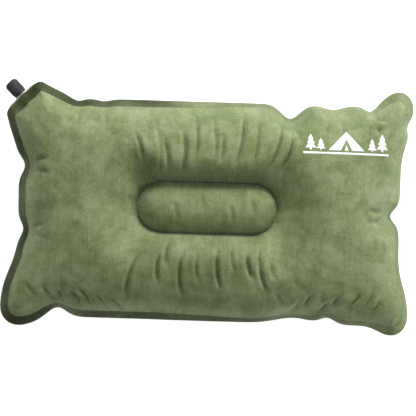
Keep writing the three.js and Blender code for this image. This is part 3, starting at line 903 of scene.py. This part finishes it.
# %% [markdown]
# ## The print
#
# A small white print sits in one corner of the pillow: a tent between pine trees, on a line for
# the ground. The material could paint it, but then its edges would be soft and it couldn't lie
# on the nap. Instead it is cut as a thin skin. Each shape is filled with small triangles while it
# is flat, and every point is then dropped straight down on the cloth.

# %% Draw the print flat
PRINT_CENTRE = np.array([0.157, 0.079])
PRINT_GRAIN = 0.0016
PRINT_THICKNESS = 0.00012
PRINT_LIFT = 0.00010


def pine(x, base, height, spread):
    """One pine tree: a zigzag outline of three tiers on a short trunk."""
    right = [
        (0.10, 0.0), (0.10, 0.13), (0.50, 0.13), (0.20, 0.40), (0.38, 0.40), (0.14, 0.66),
        (0.26, 0.66), (0.0, 1.0),
    ]
    left = [(-u, v) for u, v in right[-2::-1]]
    return [(x + u * spread, base + v * height) for u, v in right + left]


def bar(x0, x1, y0, y1):
    return [(x0, y0), (x1, y0), (x1, y1), (x0, y1)]


PRINT_SHAPES = [
    bar(-50, 50, -13.6, -11.2),
    [(-21, -9.2), (-6.5, -9.2), (0, 4.0), (0, 13.0)],
    [(0, 13.0), (0, 4.0), (6.5, -9.2), (21, -9.2)],
    [(-2.6, -9.2), (2.6, -9.2), (0, -3.0)],
    pine(-41, -9.2, 19, 13),
    pine(-29.5, -9.2, 14, 11),
    pine(30, -9.2, 15, 11),
    pine(42, -9.2, 21, 14),
]


def fill_shape(outline):
    """Small triangles that fill one outline, in metres round the print's centre."""
    corners = np.array(outline) * MM
    border = []
    for start, end in zip(corners, np.roll(corners, -1, 0)):
        steps = max(1, int(np.linalg.norm(end - start) / PRINT_GRAIN))
        border += [tuple(start + (end - start) * i / steps) for i in range(steps)]
    loop = np.array(border)
    low, high = loop.min(0), loop.max(0)
    grid = np.array([
        (x, y)
        for x in np.arange(low[0], high[0], PRINT_GRAIN)
        for y in np.arange(low[1], high[1], PRINT_GRAIN)
    ])
    grid = grid[is_inside(grid, loop) & (distance_to(grid, loop) > PRINT_GRAIN / 2)]
    points = [Vector(p) for p in border + [tuple(p) for p in grid]]
    edges = [(i, (i + 1) % len(border)) for i in range(len(border))]
    filled, _, faces, *_ = delaunay_2d_cdt(points, edges, [], 1, 1e-7)
    return [(p.x, p.y) for p in filled], [list(f) for f in faces]


# %% Drop the print on the cloth
def drape_print(name, cloth):
    shape = cloth.evaluated_get(bpy.context.evaluated_depsgraph_get())
    surface = BVHTree.FromObject(shape, bpy.context.evaluated_depsgraph_get())
    points, faces = [], []
    for outline in PRINT_SHAPES:
        flat, cells = fill_shape(outline)
        first = len(points)
        for x, y in flat:
            above = Vector((PRINT_CENTRE[0] + x, PRINT_CENTRE[1] + y, CAD_HIGH[2] + 0.05))
            place, normal, _, _ = surface.ray_cast(above, Vector((0, 0, -1)))
            points.append(place + normal * PRINT_LIFT)
        for cell in cells:
            a, b, c = (Vector(flat[i]) for i in cell)
            turn = (b - a).cross(c - a)
            faces.append([first + i for i in (cell if turn > 0 else cell[::-1])])
    mesh = bpy.data.meshes.new(name)
    mesh.from_pydata(points, [], faces)
    skin = bpy.data.objects.new(name, mesh)
    scene.collection.objects.link(skin)
    thick = skin.modifiers.new("thickness", "SOLIDIFY")
    thick.thickness, thick.offset = PRINT_THICKNESS, 1
    bake_modifiers(skin)
    print(name, len(skin.data.polygons), "faces")
    return skin


bake_modifiers(upper_cover)
bake_modifiers(lower_cover)
white_print = drape_print("tent_and_pines_print", upper_cover)
print("cloths", len(upper_cover.data.polygons), len(lower_cover.data.polygons), "faces")

# %% [markdown]
# ## The valve cap
#
# The cap is a black moulding with 24 grip ribs, a chamfered end and a round mouthpiece. All of
# it is a turned shape apart from the ribs. So one profile goes round the valve's axis, and the
# radius of the outside wall is cut in between the ribs. The wall inside stays round.

# %% Sizes of the cap, outwards from its open end
cap_low = min(
    float(np.dot(np.array(v.co) - VALVE_PLACE, VALVE_OUT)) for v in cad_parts["valve_cap"].data.vertices
)
cap_high = max(
    float(np.dot(np.array(v.co) - VALVE_PLACE, VALVE_OUT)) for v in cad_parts["valve_cap"].data.vertices
)
CAP_LENGTH = cap_high - cap_low
RIB_COUNT = 24
RIB_DEPTH = 0.00048
STEPS_PER_RIB = 12
# millimetres from the open end: (radius, height), and how deep the ribs are cut, from 0 to 1
CAP_PROFILE = [
    (5.50, 0.00, 0), (7.30, 0.00, 0), (7.62, 0.10, 0), (7.86, 0.35, 0), (7.92, 0.75, 0),
    (7.92, 1.30, 0), (8.02, 1.55, 0.2), (8.20, 1.90, 0.8), (8.25, 2.30, 1), (8.25, 5.00, 1),
    (8.25, 8.00, 1), (8.25, 11.0, 1), (8.25, 14.2, 1), (8.24, 14.7, 0.9), (8.20, 15.1, 0.5),
    (8.12, 15.4, 0.1), (8.00, 15.55, 0), (7.75, 15.95, 0), (7.15, 16.75, 0), (6.80, 17.15, 0),
    (6.55, 17.40, 0), (6.25, 17.55, 0), (5.90, 17.60, 0), (5.50, 17.57, 0), (5.20, 17.45, 0),
    (5.05, 17.25, 0), (5.00, 16.95, 0), (5.00, 15.20, 0), (4.90, 14.90, 0), (4.60, 14.80, 0),
    (3.20, 14.80, 0), (2.95, 14.72, 0), (2.85, 14.50, 0), (2.85, 12.80, 0), (4.70, 12.80, 0),
    (5.50, 12.00, 0), (5.50, 2.20, 0), (6.60, 2.20, 0), (6.60, 0.50, 0), (5.50, 0.50, 0),
]


def valve_frame_point(radius, angle, height):
    """A point round the valve's axis, height past the rim's edge."""
    side = VALVE_ALONG * math.cos(angle) + np.array([0.0, 0.0, 1.0]) * math.sin(angle)
    return VALVE_PLACE + VALVE_OUT * height + side * radius


# %% Turn the cap
def ribbed_cap(name):
    around = RIB_COUNT * STEPS_PER_RIB
    points, faces = [], []
    stretch = CAP_LENGTH / (CAP_PROFILE[22][1] * MM)
    for radius, height, cut in CAP_PROFILE:
        for step in range(around):
            angle = 2 * math.pi * step / around
            wave = 0.5 - 0.5 * math.cos(angle * RIB_COUNT)
            groove = RIB_DEPTH * cut * smooth_step(wave, 0.30, 0.75)
            points.append(valve_frame_point(radius * MM - groove, angle, cap_low + height * MM * stretch))
    rings = len(CAP_PROFILE)
    for ring in range(rings):
        here, there = ring * around, (ring + 1) % rings * around
        for step in range(around):
            after = (step + 1) % around
            faces.append((here + step, here + after, there + after, there + step))
    mesh = bpy.data.meshes.new(name)
    mesh.from_pydata([tuple(p) for p in points], [], faces)
    mesh.shade_smooth()
    cap = bpy.data.objects.new(name, mesh)
    scene.collection.objects.link(cap)
    shape = bmesh.new()
    shape.from_mesh(mesh)
    bmesh.ops.recalc_face_normals(shape, faces=shape.faces)
    shape.to_mesh(mesh)
    shape.free()
    return cap


valve_cap = ribbed_cap("ribbed_valve_cap")
print("cap", round(cap_low, 4), "to", round(cap_high, 4), len(valve_cap.data.polygons), "faces")

# %% [markdown]
# ## Material tools
#
# Every material here is made of nodes. Two short helpers keep that readable: one adds a node
# and fills in its sockets, the other opens a shader node group. A group is a material's part
# that more than one material uses: it is built once and placed in each with its own values.

# %% Node helpers
def add_node(tree, kind, inputs=None, **settings):
    made = tree.nodes.new(kind)
    for key, value in settings.items():
        setattr(made, key, value)
    for key, value in (inputs or {}).items():
        socket = made.inputs[key]
        if isinstance(value, bpy.types.NodeSocket):
            tree.links.new(value, socket)
        else:
            socket.default_value = value
    return made


def maths(tree, operation, first, second=0.5, clamp=False):
    made = add_node(tree, "ShaderNodeMath", {0: first, 1: second}, operation=operation, use_clamp=clamp)
    return made.outputs[0]


def remap(tree, value, low, high, to_low=0.0, to_high=1.0):
    made = add_node(
        tree, "ShaderNodeMapRange", {0: value, 1: low, 2: high, 3: to_low, 4: to_high},
        interpolation_type="SMOOTHSTEP",
    )
    return made.outputs[0]


def mix_colour(tree, share, first, second):
    made = tree.nodes.new("ShaderNodeMix")
    made.data_type = "RGBA"
    for index, value in ((0, share), (6, first), (7, second)):
        if isinstance(value, bpy.types.NodeSocket):
            tree.links.new(value, made.inputs[index])
        elif index == 0:
            made.inputs[0].default_value = value
        else:
            made.inputs[index].default_value = (*value, 1)
    return made.outputs[2]


def noise(tree, vector, scale, detail=2.0, roughness=0.5):
    made = add_node(
        tree, "ShaderNodeTexNoise",
        {"Vector": vector, "Scale": scale, "Detail": detail, "Roughness": roughness},
    )
    return made.outputs[0]


def stretch(tree, vector, factors):
    made = add_node(tree, "ShaderNodeVectorMath", {0: vector, 1: factors}, operation="MULTIPLY")
    return made.outputs[0]


def attribute(tree, name, output="Fac"):
    return add_node(tree, "ShaderNodeAttribute", attribute_name=name).outputs[output]


def new_group(name, inputs, outputs):
    group = bpy.data.node_groups.new(name, "ShaderNodeTree")
    for label, kind, value in inputs:
        socket = group.interface.new_socket(label, in_out="INPUT", socket_type=kind)
        if value is not None:
            socket.default_value = value
    for label, kind in outputs:
        group.interface.new_socket(label, in_out="OUTPUT", socket_type=kind)
    return group, group.nodes.new("NodeGroupInput").outputs, group.nodes.new("NodeGroupOutput").inputs


def place_group(tree, group, inputs):
    made = tree.nodes.new("ShaderNodeGroup")
    made.node_tree = group
    for key, value in inputs.items():
        if isinstance(value, bpy.types.NodeSocket):
            tree.links.new(value, made.inputs[key])
        else:
            made.inputs[key].default_value = value
    return made.outputs


def new_material(name, **fixed):
    """A material with one Principled BSDF; fixed are its constant sockets, by name."""
    material = bpy.data.materials.new(name)
    material.use_nodes = True
    shader = material.node_tree.nodes["Principled BSDF"]
    for label, value in fixed.items():
        socket = shader.inputs[label.replace("_", " ")]
        socket.default_value = (*value, 1) if isinstance(value, tuple) and len(value) == 3 else value
    return material, material.node_tree, shader


def bump(tree, shader, height, distance, strength=1.0):
    made = add_node(tree, "ShaderNodeBump", {"Height": height, "Distance": distance, "Strength": strength})
    tree.links.new(made.outputs[0], shader.inputs["Normal"])


# %% [markdown]
# ## Fine grain, for every surface
#
# Nothing real is even. Plastic has the tooth of its mould, film has a haze, foam has cells and
# cloth has fibres. Most of that is the same effect at other sizes: a fine noise for the height
# and a broad one for a slow change of tone. This group gives both.

# %% The grain group
grain_group, grain_in, grain_out = new_group(
    "surface_grain",
    [
        ("Vector", "NodeSocketVector", None),
        ("Fine Scale", "NodeSocketFloat", 2500.0),
        ("Broad Scale", "NodeSocketFloat", 60.0),
    ],
    [("Fine", "NodeSocketFloat"), ("Broad", "NodeSocketFloat")],
)
fine = noise(grain_group, grain_in["Vector"], grain_in["Fine Scale"], 3.0, 0.6)
broad = noise(grain_group, grain_in["Vector"], grain_in["Broad Scale"], 4.0, 0.55)
grain_group.links.new(fine, grain_out["Fine"])
grain_group.links.new(remap(grain_group, broad, 0.3, 0.7), grain_out["Broad"])

# %% [markdown]
# ## Suede
#
# The cover is a brushed polyester suede. Its nap can lie either way, and where a hand has
# brushed it, it turns lighter or darker in soft patches with streaks along the pile. Seen edge
# on, the fibre tips catch light, which is what the shader's sheen is for. On the welded rim the
# nap is pressed flat and looks darker, with the fine cross lines of the welding bar. The rim is
# also painted darker in places as painted shade, and the creases get painted shade in their valleys.

# %% The nap group
nap_group, nap_in, nap_out = new_group(
    "brushed_nap",
    [("Cloth Place", "NodeSocketVector", None), ("Streak Length", "NodeSocketFloat", 7.0)],
    [("Lean", "NodeSocketFloat"), ("Fibres", "NodeSocketFloat")],
)
place = nap_in["Cloth Place"]
slow = noise(nap_group, place, 22.0, 4.0, 0.62)
patches = noise(nap_group, place, 75.0, 3.0, 0.6)
across = add_node(
    nap_group, "ShaderNodeCombineXYZ", {"X": nap_in["Streak Length"], "Y": 1.0, "Z": 1.0}
).outputs[0]
streaks = noise(nap_group, stretch(nap_group, place, across), 55.0, 4.0, 0.6)
mottle = noise(nap_group, place, 420.0, 2.0, 0.6)
lean = maths(nap_group, "MULTIPLY", slow, 0.34)
for part, weight in ((patches, 0.30), (streaks, 0.15), (mottle, 0.21)):
    weighted = maths(nap_group, "MULTIPLY", part, weight)
    lean = maths(nap_group, "ADD", lean, weighted)
fibres = noise(nap_group, place, 1500.0, 3.0, 0.65)
nap_group.links.new(remap(nap_group, lean, 0.38, 0.62), nap_out["Lean"])
nap_group.links.new(fibres, nap_out["Fibres"])

# %% The suede material
SUEDE_DARK = (0.142, 0.184, 0.074)
SUEDE_MID = (0.194, 0.238, 0.106)
SUEDE_LIGHT = (0.250, 0.293, 0.158)
# darkest nap colour: pressed nap on the welds and rim, and painted shade on the rim and in the creases
DARK_NAP_AND_SHADE = (0.030, 0.041, 0.014)
suede, tree, shader = new_material(
    "green_suede_cloth", Roughness=0.92, Sheen_Weight=0.35, Sheen_Roughness=0.4,
    Sheen_Tint=(0.86, 0.93, 0.70), Specular_IOR_Level=0.18,
)
cloth_place = attribute(tree, "cut", "Vector")
nap = place_group(tree, nap_group, {"Cloth Place": cloth_place, "Streak Length": 6.0})
past_weld = attribute(tree, "past_weld")
from_ring = attribute(tree, "from_ring")
# how dark the rim is painted: partly pressed nap, partly painted shade
rim_nap_and_shade = attribute(tree, "rim_nap_and_shade")
darker = mix_colour(tree, remap(tree, nap["Lean"], 0.0, 0.55), SUEDE_DARK, SUEDE_MID)
body_colour = mix_colour(tree, remap(tree, nap["Lean"], 0.45, 1.0), darker, SUEDE_LIGHT)
on_rim = remap(tree, past_weld, -0.0006, 0.0006)
rim_share = maths(tree, "MULTIPLY", on_rim, rim_nap_and_shade)
rim_tone = maths(tree, "MULTIPLY", rim_share, remap(tree, nap["Lean"], 0.0, 1.0, 1.0, 0.82))
colour = mix_colour(tree, rim_tone, body_colour, DARK_NAP_AND_SHADE)
weld_seen = remap(tree, maths(tree, "ABSOLUTE", past_weld), 0.0, 0.0012, 0.45, 0.0)
ring_seen = remap(tree, maths(tree, "ABSOLUTE", from_ring), 0.0005, 0.0035, 0.3, 0.0)
pressed = maths(tree, "MAXIMUM", weld_seen, ring_seen)
# painted shade in the creases' valleys; from here pressed holds the weld lines and this shade
painted_crease_shade = remap(tree, attribute(tree, "crease_shade"), 0.25, 1.0, 0.0, 0.45)
pressed = maths(tree, "MAXIMUM", pressed, painted_crease_shade)
colour = mix_colour(tree, pressed, colour, DARK_NAP_AND_SHADE)
tree.links.new(colour, shader.inputs["Base Color"])
weld_bars = add_node(
    tree, "ShaderNodeTexWave",
    {"Vector": cloth_place, "Scale": 240.0, "Distortion": 1.2, "Detail": 1.0},
    wave_type="BANDS", bands_direction="DIAGONAL",
).outputs["Fac"]
bars = maths(tree, "MULTIPLY", weld_bars, on_rim)
height = maths(tree, "ADD", maths(tree, "MULTIPLY", nap["Fibres"], 0.6), maths(tree, "MULTIPLY", bars, 0.5))
height = maths(tree, "ADD", height, maths(tree, "MULTIPLY", nap["Lean"], 0.35))
bump(tree, shader, height, 0.0005, 0.7)

# %% [markdown]
# ## The coated back, the film and the foam
#
# The back of the cloth is coated dark, and the cut edge of the rim shows it as a thin line. The
# film and the foam are out of sight in a whole pillow. They still get their own finishes,
# because this part may be cut open or shown in pieces.

# %% Coating and film
coating, tree, shader = new_material("dark_coated_back", Roughness=0.55, Specular_IOR_Level=0.4)
grain = place_group(
    tree, grain_group, {"Vector": attribute(tree, "cut", "Vector"), "Fine Scale": 1800.0, "Broad Scale": 90.0}
)
colour = mix_colour(tree, grain["Broad"], (0.030, 0.030, 0.026), (0.070, 0.072, 0.062))
tree.links.new(colour, shader.inputs["Base Color"])
bump(tree, shader, grain["Fine"], 0.0001, 0.5)

film_finish, tree, shader = new_material("air_tight_film", Specular_IOR_Level=0.5)
grain = place_group(
    tree, grain_group, {"Vector": attribute(tree, "cut", "Vector"), "Fine Scale": 900.0, "Broad Scale": 40.0}
)
colour = mix_colour(tree, grain["Broad"], (0.085, 0.09, 0.08), (0.16, 0.165, 0.145))
tree.links.new(colour, shader.inputs["Base Color"])
tree.links.new(remap(tree, grain["Broad"], 0.0, 1.0, 0.38, 0.55), shader.inputs["Roughness"])
bump(tree, shader, grain["Fine"], 0.00008, 0.6)

# %% Open-cell foam
foam_finish, tree, shader = new_material(
    "open_cell_foam", Roughness=0.97, Specular_IOR_Level=0.1, Subsurface_Weight=0.1
)
where = add_node(tree, "ShaderNodeTexCoord").outputs["Object"]
cells = add_node(
    tree, "ShaderNodeTexVoronoi", {"Vector": where, "Scale": 1100.0, "Randomness": 1.0}, feature="F1"
).outputs["Distance"]
grain = place_group(tree, grain_group, {"Vector": where, "Fine Scale": 1600.0, "Broad Scale": 30.0})
foam_tone = mix_colour(tree, grain["Broad"], (0.70, 0.62, 0.44), (0.84, 0.79, 0.63))
# each cell's middle is painted darker: painted shade in the foam's pores
foam_tone = mix_colour(tree, remap(tree, cells, 0.05, 0.5, 0.45, 0.0), foam_tone, (0.42, 0.35, 0.22))
tree.links.new(foam_tone, shader.inputs["Base Color"])
bump(tree, shader, maths(tree, "ADD", cells, maths(tree, "MULTIPLY", grain["Fine"], 0.4)), 0.0006, 0.8)

# %% [markdown]
# ## Plastic, vinyl, rubber and ink
#
# The cap and the valve body are moulded black plastic: dark, a little brown, with a satin skin
# that is rubbed shinier on the tips of the ribs. The boot is clear soft vinyl that has yellowed
# slightly. The seals are matt rubber. The ink is a flat white that the cloth's fibres break up.

# %% Edge rub, for both black mouldings
rub_group, rub_in, rub_out = new_group(
    "edge_rub",
    [("Vector", "NodeSocketVector", None), ("Reach", "NodeSocketFloat", 0.08)],
    [("Rub", "NodeSocketFloat")],
)
pointed = add_node(rub_group, "ShaderNodeNewGeometry").outputs["Pointiness"]
raised = add_node(rub_group, "ShaderNodeMapRange", {0: pointed, 1: 0.51, 3: 0.0, 4: 1.0})
rub_group.links.new(maths(rub_group, "ADD", rub_in["Reach"], 0.51), raised.inputs[2])
broken = remap(rub_group, noise(rub_group, rub_in["Vector"], 700.0, 3.0, 0.6), 0.35, 0.65, 0.4, 1.0)
rub_group.links.new(maths(rub_group, "MULTIPLY", raised.outputs[0], broken, clamp=True), rub_out["Rub"])


# %% The black mouldings
def black_moulding(name, skin):
    material, tree, shader = new_material(name, Specular_IOR_Level=0.32)
    where = add_node(tree, "ShaderNodeTexCoord").outputs["Object"]
    grain = place_group(tree, grain_group, {"Vector": where, "Fine Scale": 3200.0, "Broad Scale": 260.0})
    rub = place_group(tree, rub_group, {"Vector": where, "Reach": 0.06})["Rub"]
    tone = mix_colour(tree, grain["Broad"], (0.0135, 0.0118, 0.0112), (0.0215, 0.0190, 0.0185))
    tone = mix_colour(tree, maths(tree, "MULTIPLY", rub, 0.6), tone, (0.060, 0.054, 0.054))
    tree.links.new(tone, shader.inputs["Base Color"])
    worn = maths(tree, "MULTIPLY", rub, 0.12)
    sheen = maths(tree, "SUBTRACT", remap(tree, grain["Broad"], 0.0, 1.0, skin, skin + 0.12), worn)
    tree.links.new(sheen, shader.inputs["Roughness"])
    bump(tree, shader, grain["Fine"], 0.00006, 0.5)
    return material


cap_plastic = black_moulding("black_cap_plastic", 0.36)
body_plastic = black_moulding("black_valve_plastic", 0.36)

# %% Vinyl, rubber and ink
vinyl, tree, shader = new_material(
    "clear_soft_vinyl", Transmission_Weight=0.55, IOR=1.5, Specular_IOR_Level=0.6
)
where = add_node(tree, "ShaderNodeTexCoord").outputs["Object"]
grain = place_group(tree, grain_group, {"Vector": where, "Fine Scale": 1200.0, "Broad Scale": 180.0})
colour = mix_colour(tree, grain["Broad"], (0.72, 0.74, 0.66), (0.84, 0.85, 0.80))
tree.links.new(colour, shader.inputs["Base Color"])
tree.links.new(remap(tree, grain["Broad"], 0.0, 1.0, 0.22, 0.36), shader.inputs["Roughness"])
bump(tree, shader, grain["Fine"], 0.00008, 0.5)

rubber, tree, shader = new_material("seal_rubber_matt", Specular_IOR_Level=0.35)
where = add_node(tree, "ShaderNodeTexCoord").outputs["Object"]
grain = place_group(tree, grain_group, {"Vector": where, "Fine Scale": 4200.0, "Broad Scale": 420.0})
colour = mix_colour(tree, grain["Broad"], (0.018, 0.015, 0.013), (0.034, 0.030, 0.027))
tree.links.new(colour, shader.inputs["Base Color"])
tree.links.new(remap(tree, grain["Broad"], 0.0, 1.0, 0.55, 0.75), shader.inputs["Roughness"])
bump(tree, shader, grain["Fine"], 0.00005, 0.6)

ink, tree, shader = new_material("white_print_ink", Roughness=0.8, Specular_IOR_Level=0.25)
where = add_node(tree, "ShaderNodeTexCoord").outputs["Object"]
grain = place_group(tree, grain_group, {"Vector": where, "Fine Scale": 1500.0, "Broad Scale": 120.0})
thin_ink = remap(tree, grain["Fine"], 0.28, 0.50, 0.32, 0.0)
ink_tone = mix_colour(tree, grain["Broad"], (0.86, 0.87, 0.84), (0.93, 0.935, 0.92))
tree.links.new(mix_colour(tree, thin_ink, ink_tone, (0.40, 0.45, 0.28)), shader.inputs["Base Color"])
bump(tree, shader, grain["Fine"], 0.0002, 0.6)

# %% [markdown]
# ## How dark the rim is painted
#
# The rim is painted darkest on the valve's side of the pillow, partly for its pressed nap and
# partly as painted shade, where the rim lies in shadow. At the far end it is nearly as light as
# the rest. A number on each point carries that to the material: 1 is fully dark.

# %% Paint the rim's pressed nap and painted shade
# place, reach, how dark the rim is painted there (pressed nap and painted shade)
RIM_NAP_AND_SHADE = [
    ((-0.16, 0.14), 0.085, 1.4),
    ((-0.235, 0.06), 0.060, 1.2),
    ((-0.24, -0.06), 0.075, 1.3),
    ((-0.21, -0.14), 0.060, 1.2),
    ((-0.07, 0.14), 0.050, 1.1),
    ((-0.10, -0.14), 0.080, 1.1),
    ((0.03, -0.14), 0.090, 1.0),
    ((0.05, 0.14), 0.060, 0.5),
    ((0.14, -0.14), 0.055, 0.7),
    ((0.23, -0.05), 0.060, 0.5),
]


# gives each point how dark its rim is painted: partly pressed nap, partly painted shade
def paint_rim_nap_and_shade(cover):
    points = read_points(cover.data)
    nap_and_shade = np.full(len(points), 0.08)
    for place, reach, amount in RIM_NAP_AND_SHADE:
        away = np.linalg.norm(points[:, :2] - np.array(place), axis=1)
        nap_and_shade = np.maximum(nap_and_shade, amount * np.exp(-((away / reach) ** 2)))
    layer = cover.data.attributes.new("rim_nap_and_shade", "FLOAT", "POINT")
    layer.data.foreach_set("value", np.clip(nap_and_shade, 0, 1))


for cover in (upper_cover, lower_cover):
    paint_rim_nap_and_shade(cover)

# %% [markdown]
# ## Give every piece its finish and its body
#
# A piece rides on a body of the frame, so that it moves when the frame does. A piece that
# stands for a CAD node hides that node. The valve body, the boot and both seals keep their CAD shapes,
# which are right as they are, and only get better materials.

# %% Finishes
for piece, finishes in (
    (upper_cover, (suede, coating)), (lower_cover, (suede, coating)),
    (upper_film, (film_finish,)), (lower_film, (film_finish,)),
    (foam_core, (foam_finish,)), (foam_island, (foam_finish,)),
    (valve_cap, (cap_plastic,)), (white_print, (ink,)),
):
    for finish in finishes:
        piece.data.materials.append(finish)
for node_name, finish in (
    ("valve_boot", vinyl), ("valve_body", body_plastic), ("plug_seal", rubber), ("cap_o_ring", rubber),
):
    for material_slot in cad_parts[node_name].material_slots:
        material_slot.material = finish

# %% Bodies, nodes and slots
for piece, body, node_name, slot_name in (
    (upper_cover, "pillow", "upper_cover", "green_suede"),
    (lower_cover, "pillow", "lower_cover", "green_suede"),
    (upper_film, "pillow", "upper_air_film", "air_film"),
    (lower_film, "pillow", "lower_air_film", "air_film"),
    (foam_core, "pillow", "foam_core", "foam"),
    (foam_island, "pillow", "foam_island", "foam"),
    (valve_cap, "cap", "valve_cap", "black_plastic"),
):
    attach(piece, body)
    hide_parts(node_name)
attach(white_print, "pillow")

# %% [markdown]
# ## What is soft
#
# Each cloth and film is a sheet that was cut flat, and each foam piece is padding. The area of
# the cut's outline is a little less than its length times its width.


# %% [markdown]
# ## The studio
#
# The pillow lies on a plain white table and is seen from straight above, with a long lens, so
# its sides hardly lean. One wide soft lamp stands past its far edge. It makes the slopes that
# face it bright and the others dark, which is what shows the folds. The table glows a little, as
# a light table does, so that it stays white right up to the rim.

# %% Floor
def make_floor(size=6.0):
    mesh = bpy.data.meshes.new("table_top")
    half = size / 2
    corners = [(-half, -half, 0), (half, -half, 0), (half, half, 0), (-half, half, 0)]
    mesh.from_pydata(corners, [], [(0, 1, 2, 3)])
    floor = bpy.data.objects.new("table_top", mesh)
    scene.collection.objects.link(floor)
    floor.location.z = CAD_LOW[2] - 0.0002
    finish, _, _ = new_material(
        "white_table", Base_Color=(0.9, 0.9, 0.9), Roughness=0.9,
        Emission_Color=(1.0, 1.0, 1.0), Emission_Strength=0.80, Specular_IOR_Level=0.1,
    )
    mesh.materials.append(finish)
    return floor


make_floor()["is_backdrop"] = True


# %% Lamps and sky
def soft_lamp(name, place, aim, width, depth, watts, colour=(1, 1, 1)):
    lamp = bpy.data.lights.new(name, "AREA")
    lamp.shape = "RECTANGLE"
    lamp.size, lamp.size_y, lamp.energy, lamp.color = width, depth, watts, colour
    holder = bpy.data.objects.new(name, lamp)
    scene.collection.objects.link(holder)
    holder.location = place
    holder.rotation_euler = (Vector(aim) - Vector(place)).to_track_quat("-Z", "Y").to_euler()


soft_lamp("key_window", (0.40, 1.25, 0.95), (0, 0, 0.04), 1.0, 0.6, 26, (1.0, 1.0, 0.98))
soft_lamp("side_fill", (1.2, 0.1, 0.55), (0.1, 0, 0.04), 0.6, 0.6, 5)
soft_lamp("overhead_fill", (0.1, 0.3, 1.9), (0, 0, 0.04), 1.2, 1.2, 7)
sky = bpy.data.worlds.new("studio_sky")
sky.use_nodes = True
sky.node_tree.nodes["Background"].inputs["Color"].default_value = (1, 1, 1, 1)
sky.node_tree.nodes["Background"].inputs["Strength"].default_value = 0.22
scene.world = sky
scene.view_settings.view_transform = "Standard"

# %% Camera
CAMERA_ROLL = 1.75
VIEW_WIDTH = 0.4867
LENS = 110.0
camera_data = bpy.data.cameras.new("camera")
camera_data.lens = LENS
camera_data.sensor_width = 36.0
camera = bpy.data.objects.new("camera", camera_data)
scene.collection.objects.link(camera)
camera_height = VIEW_WIDTH * LENS / 36.0
camera.location = (0.0012, 0.0, WELD_Z + camera_height)
camera.rotation_euler = (0, 0, math.radians(CAMERA_ROLL))
camera_data.clip_end = 20
scene.camera = camera
print("camera", round(camera_height, 3), "m above the weld plane")
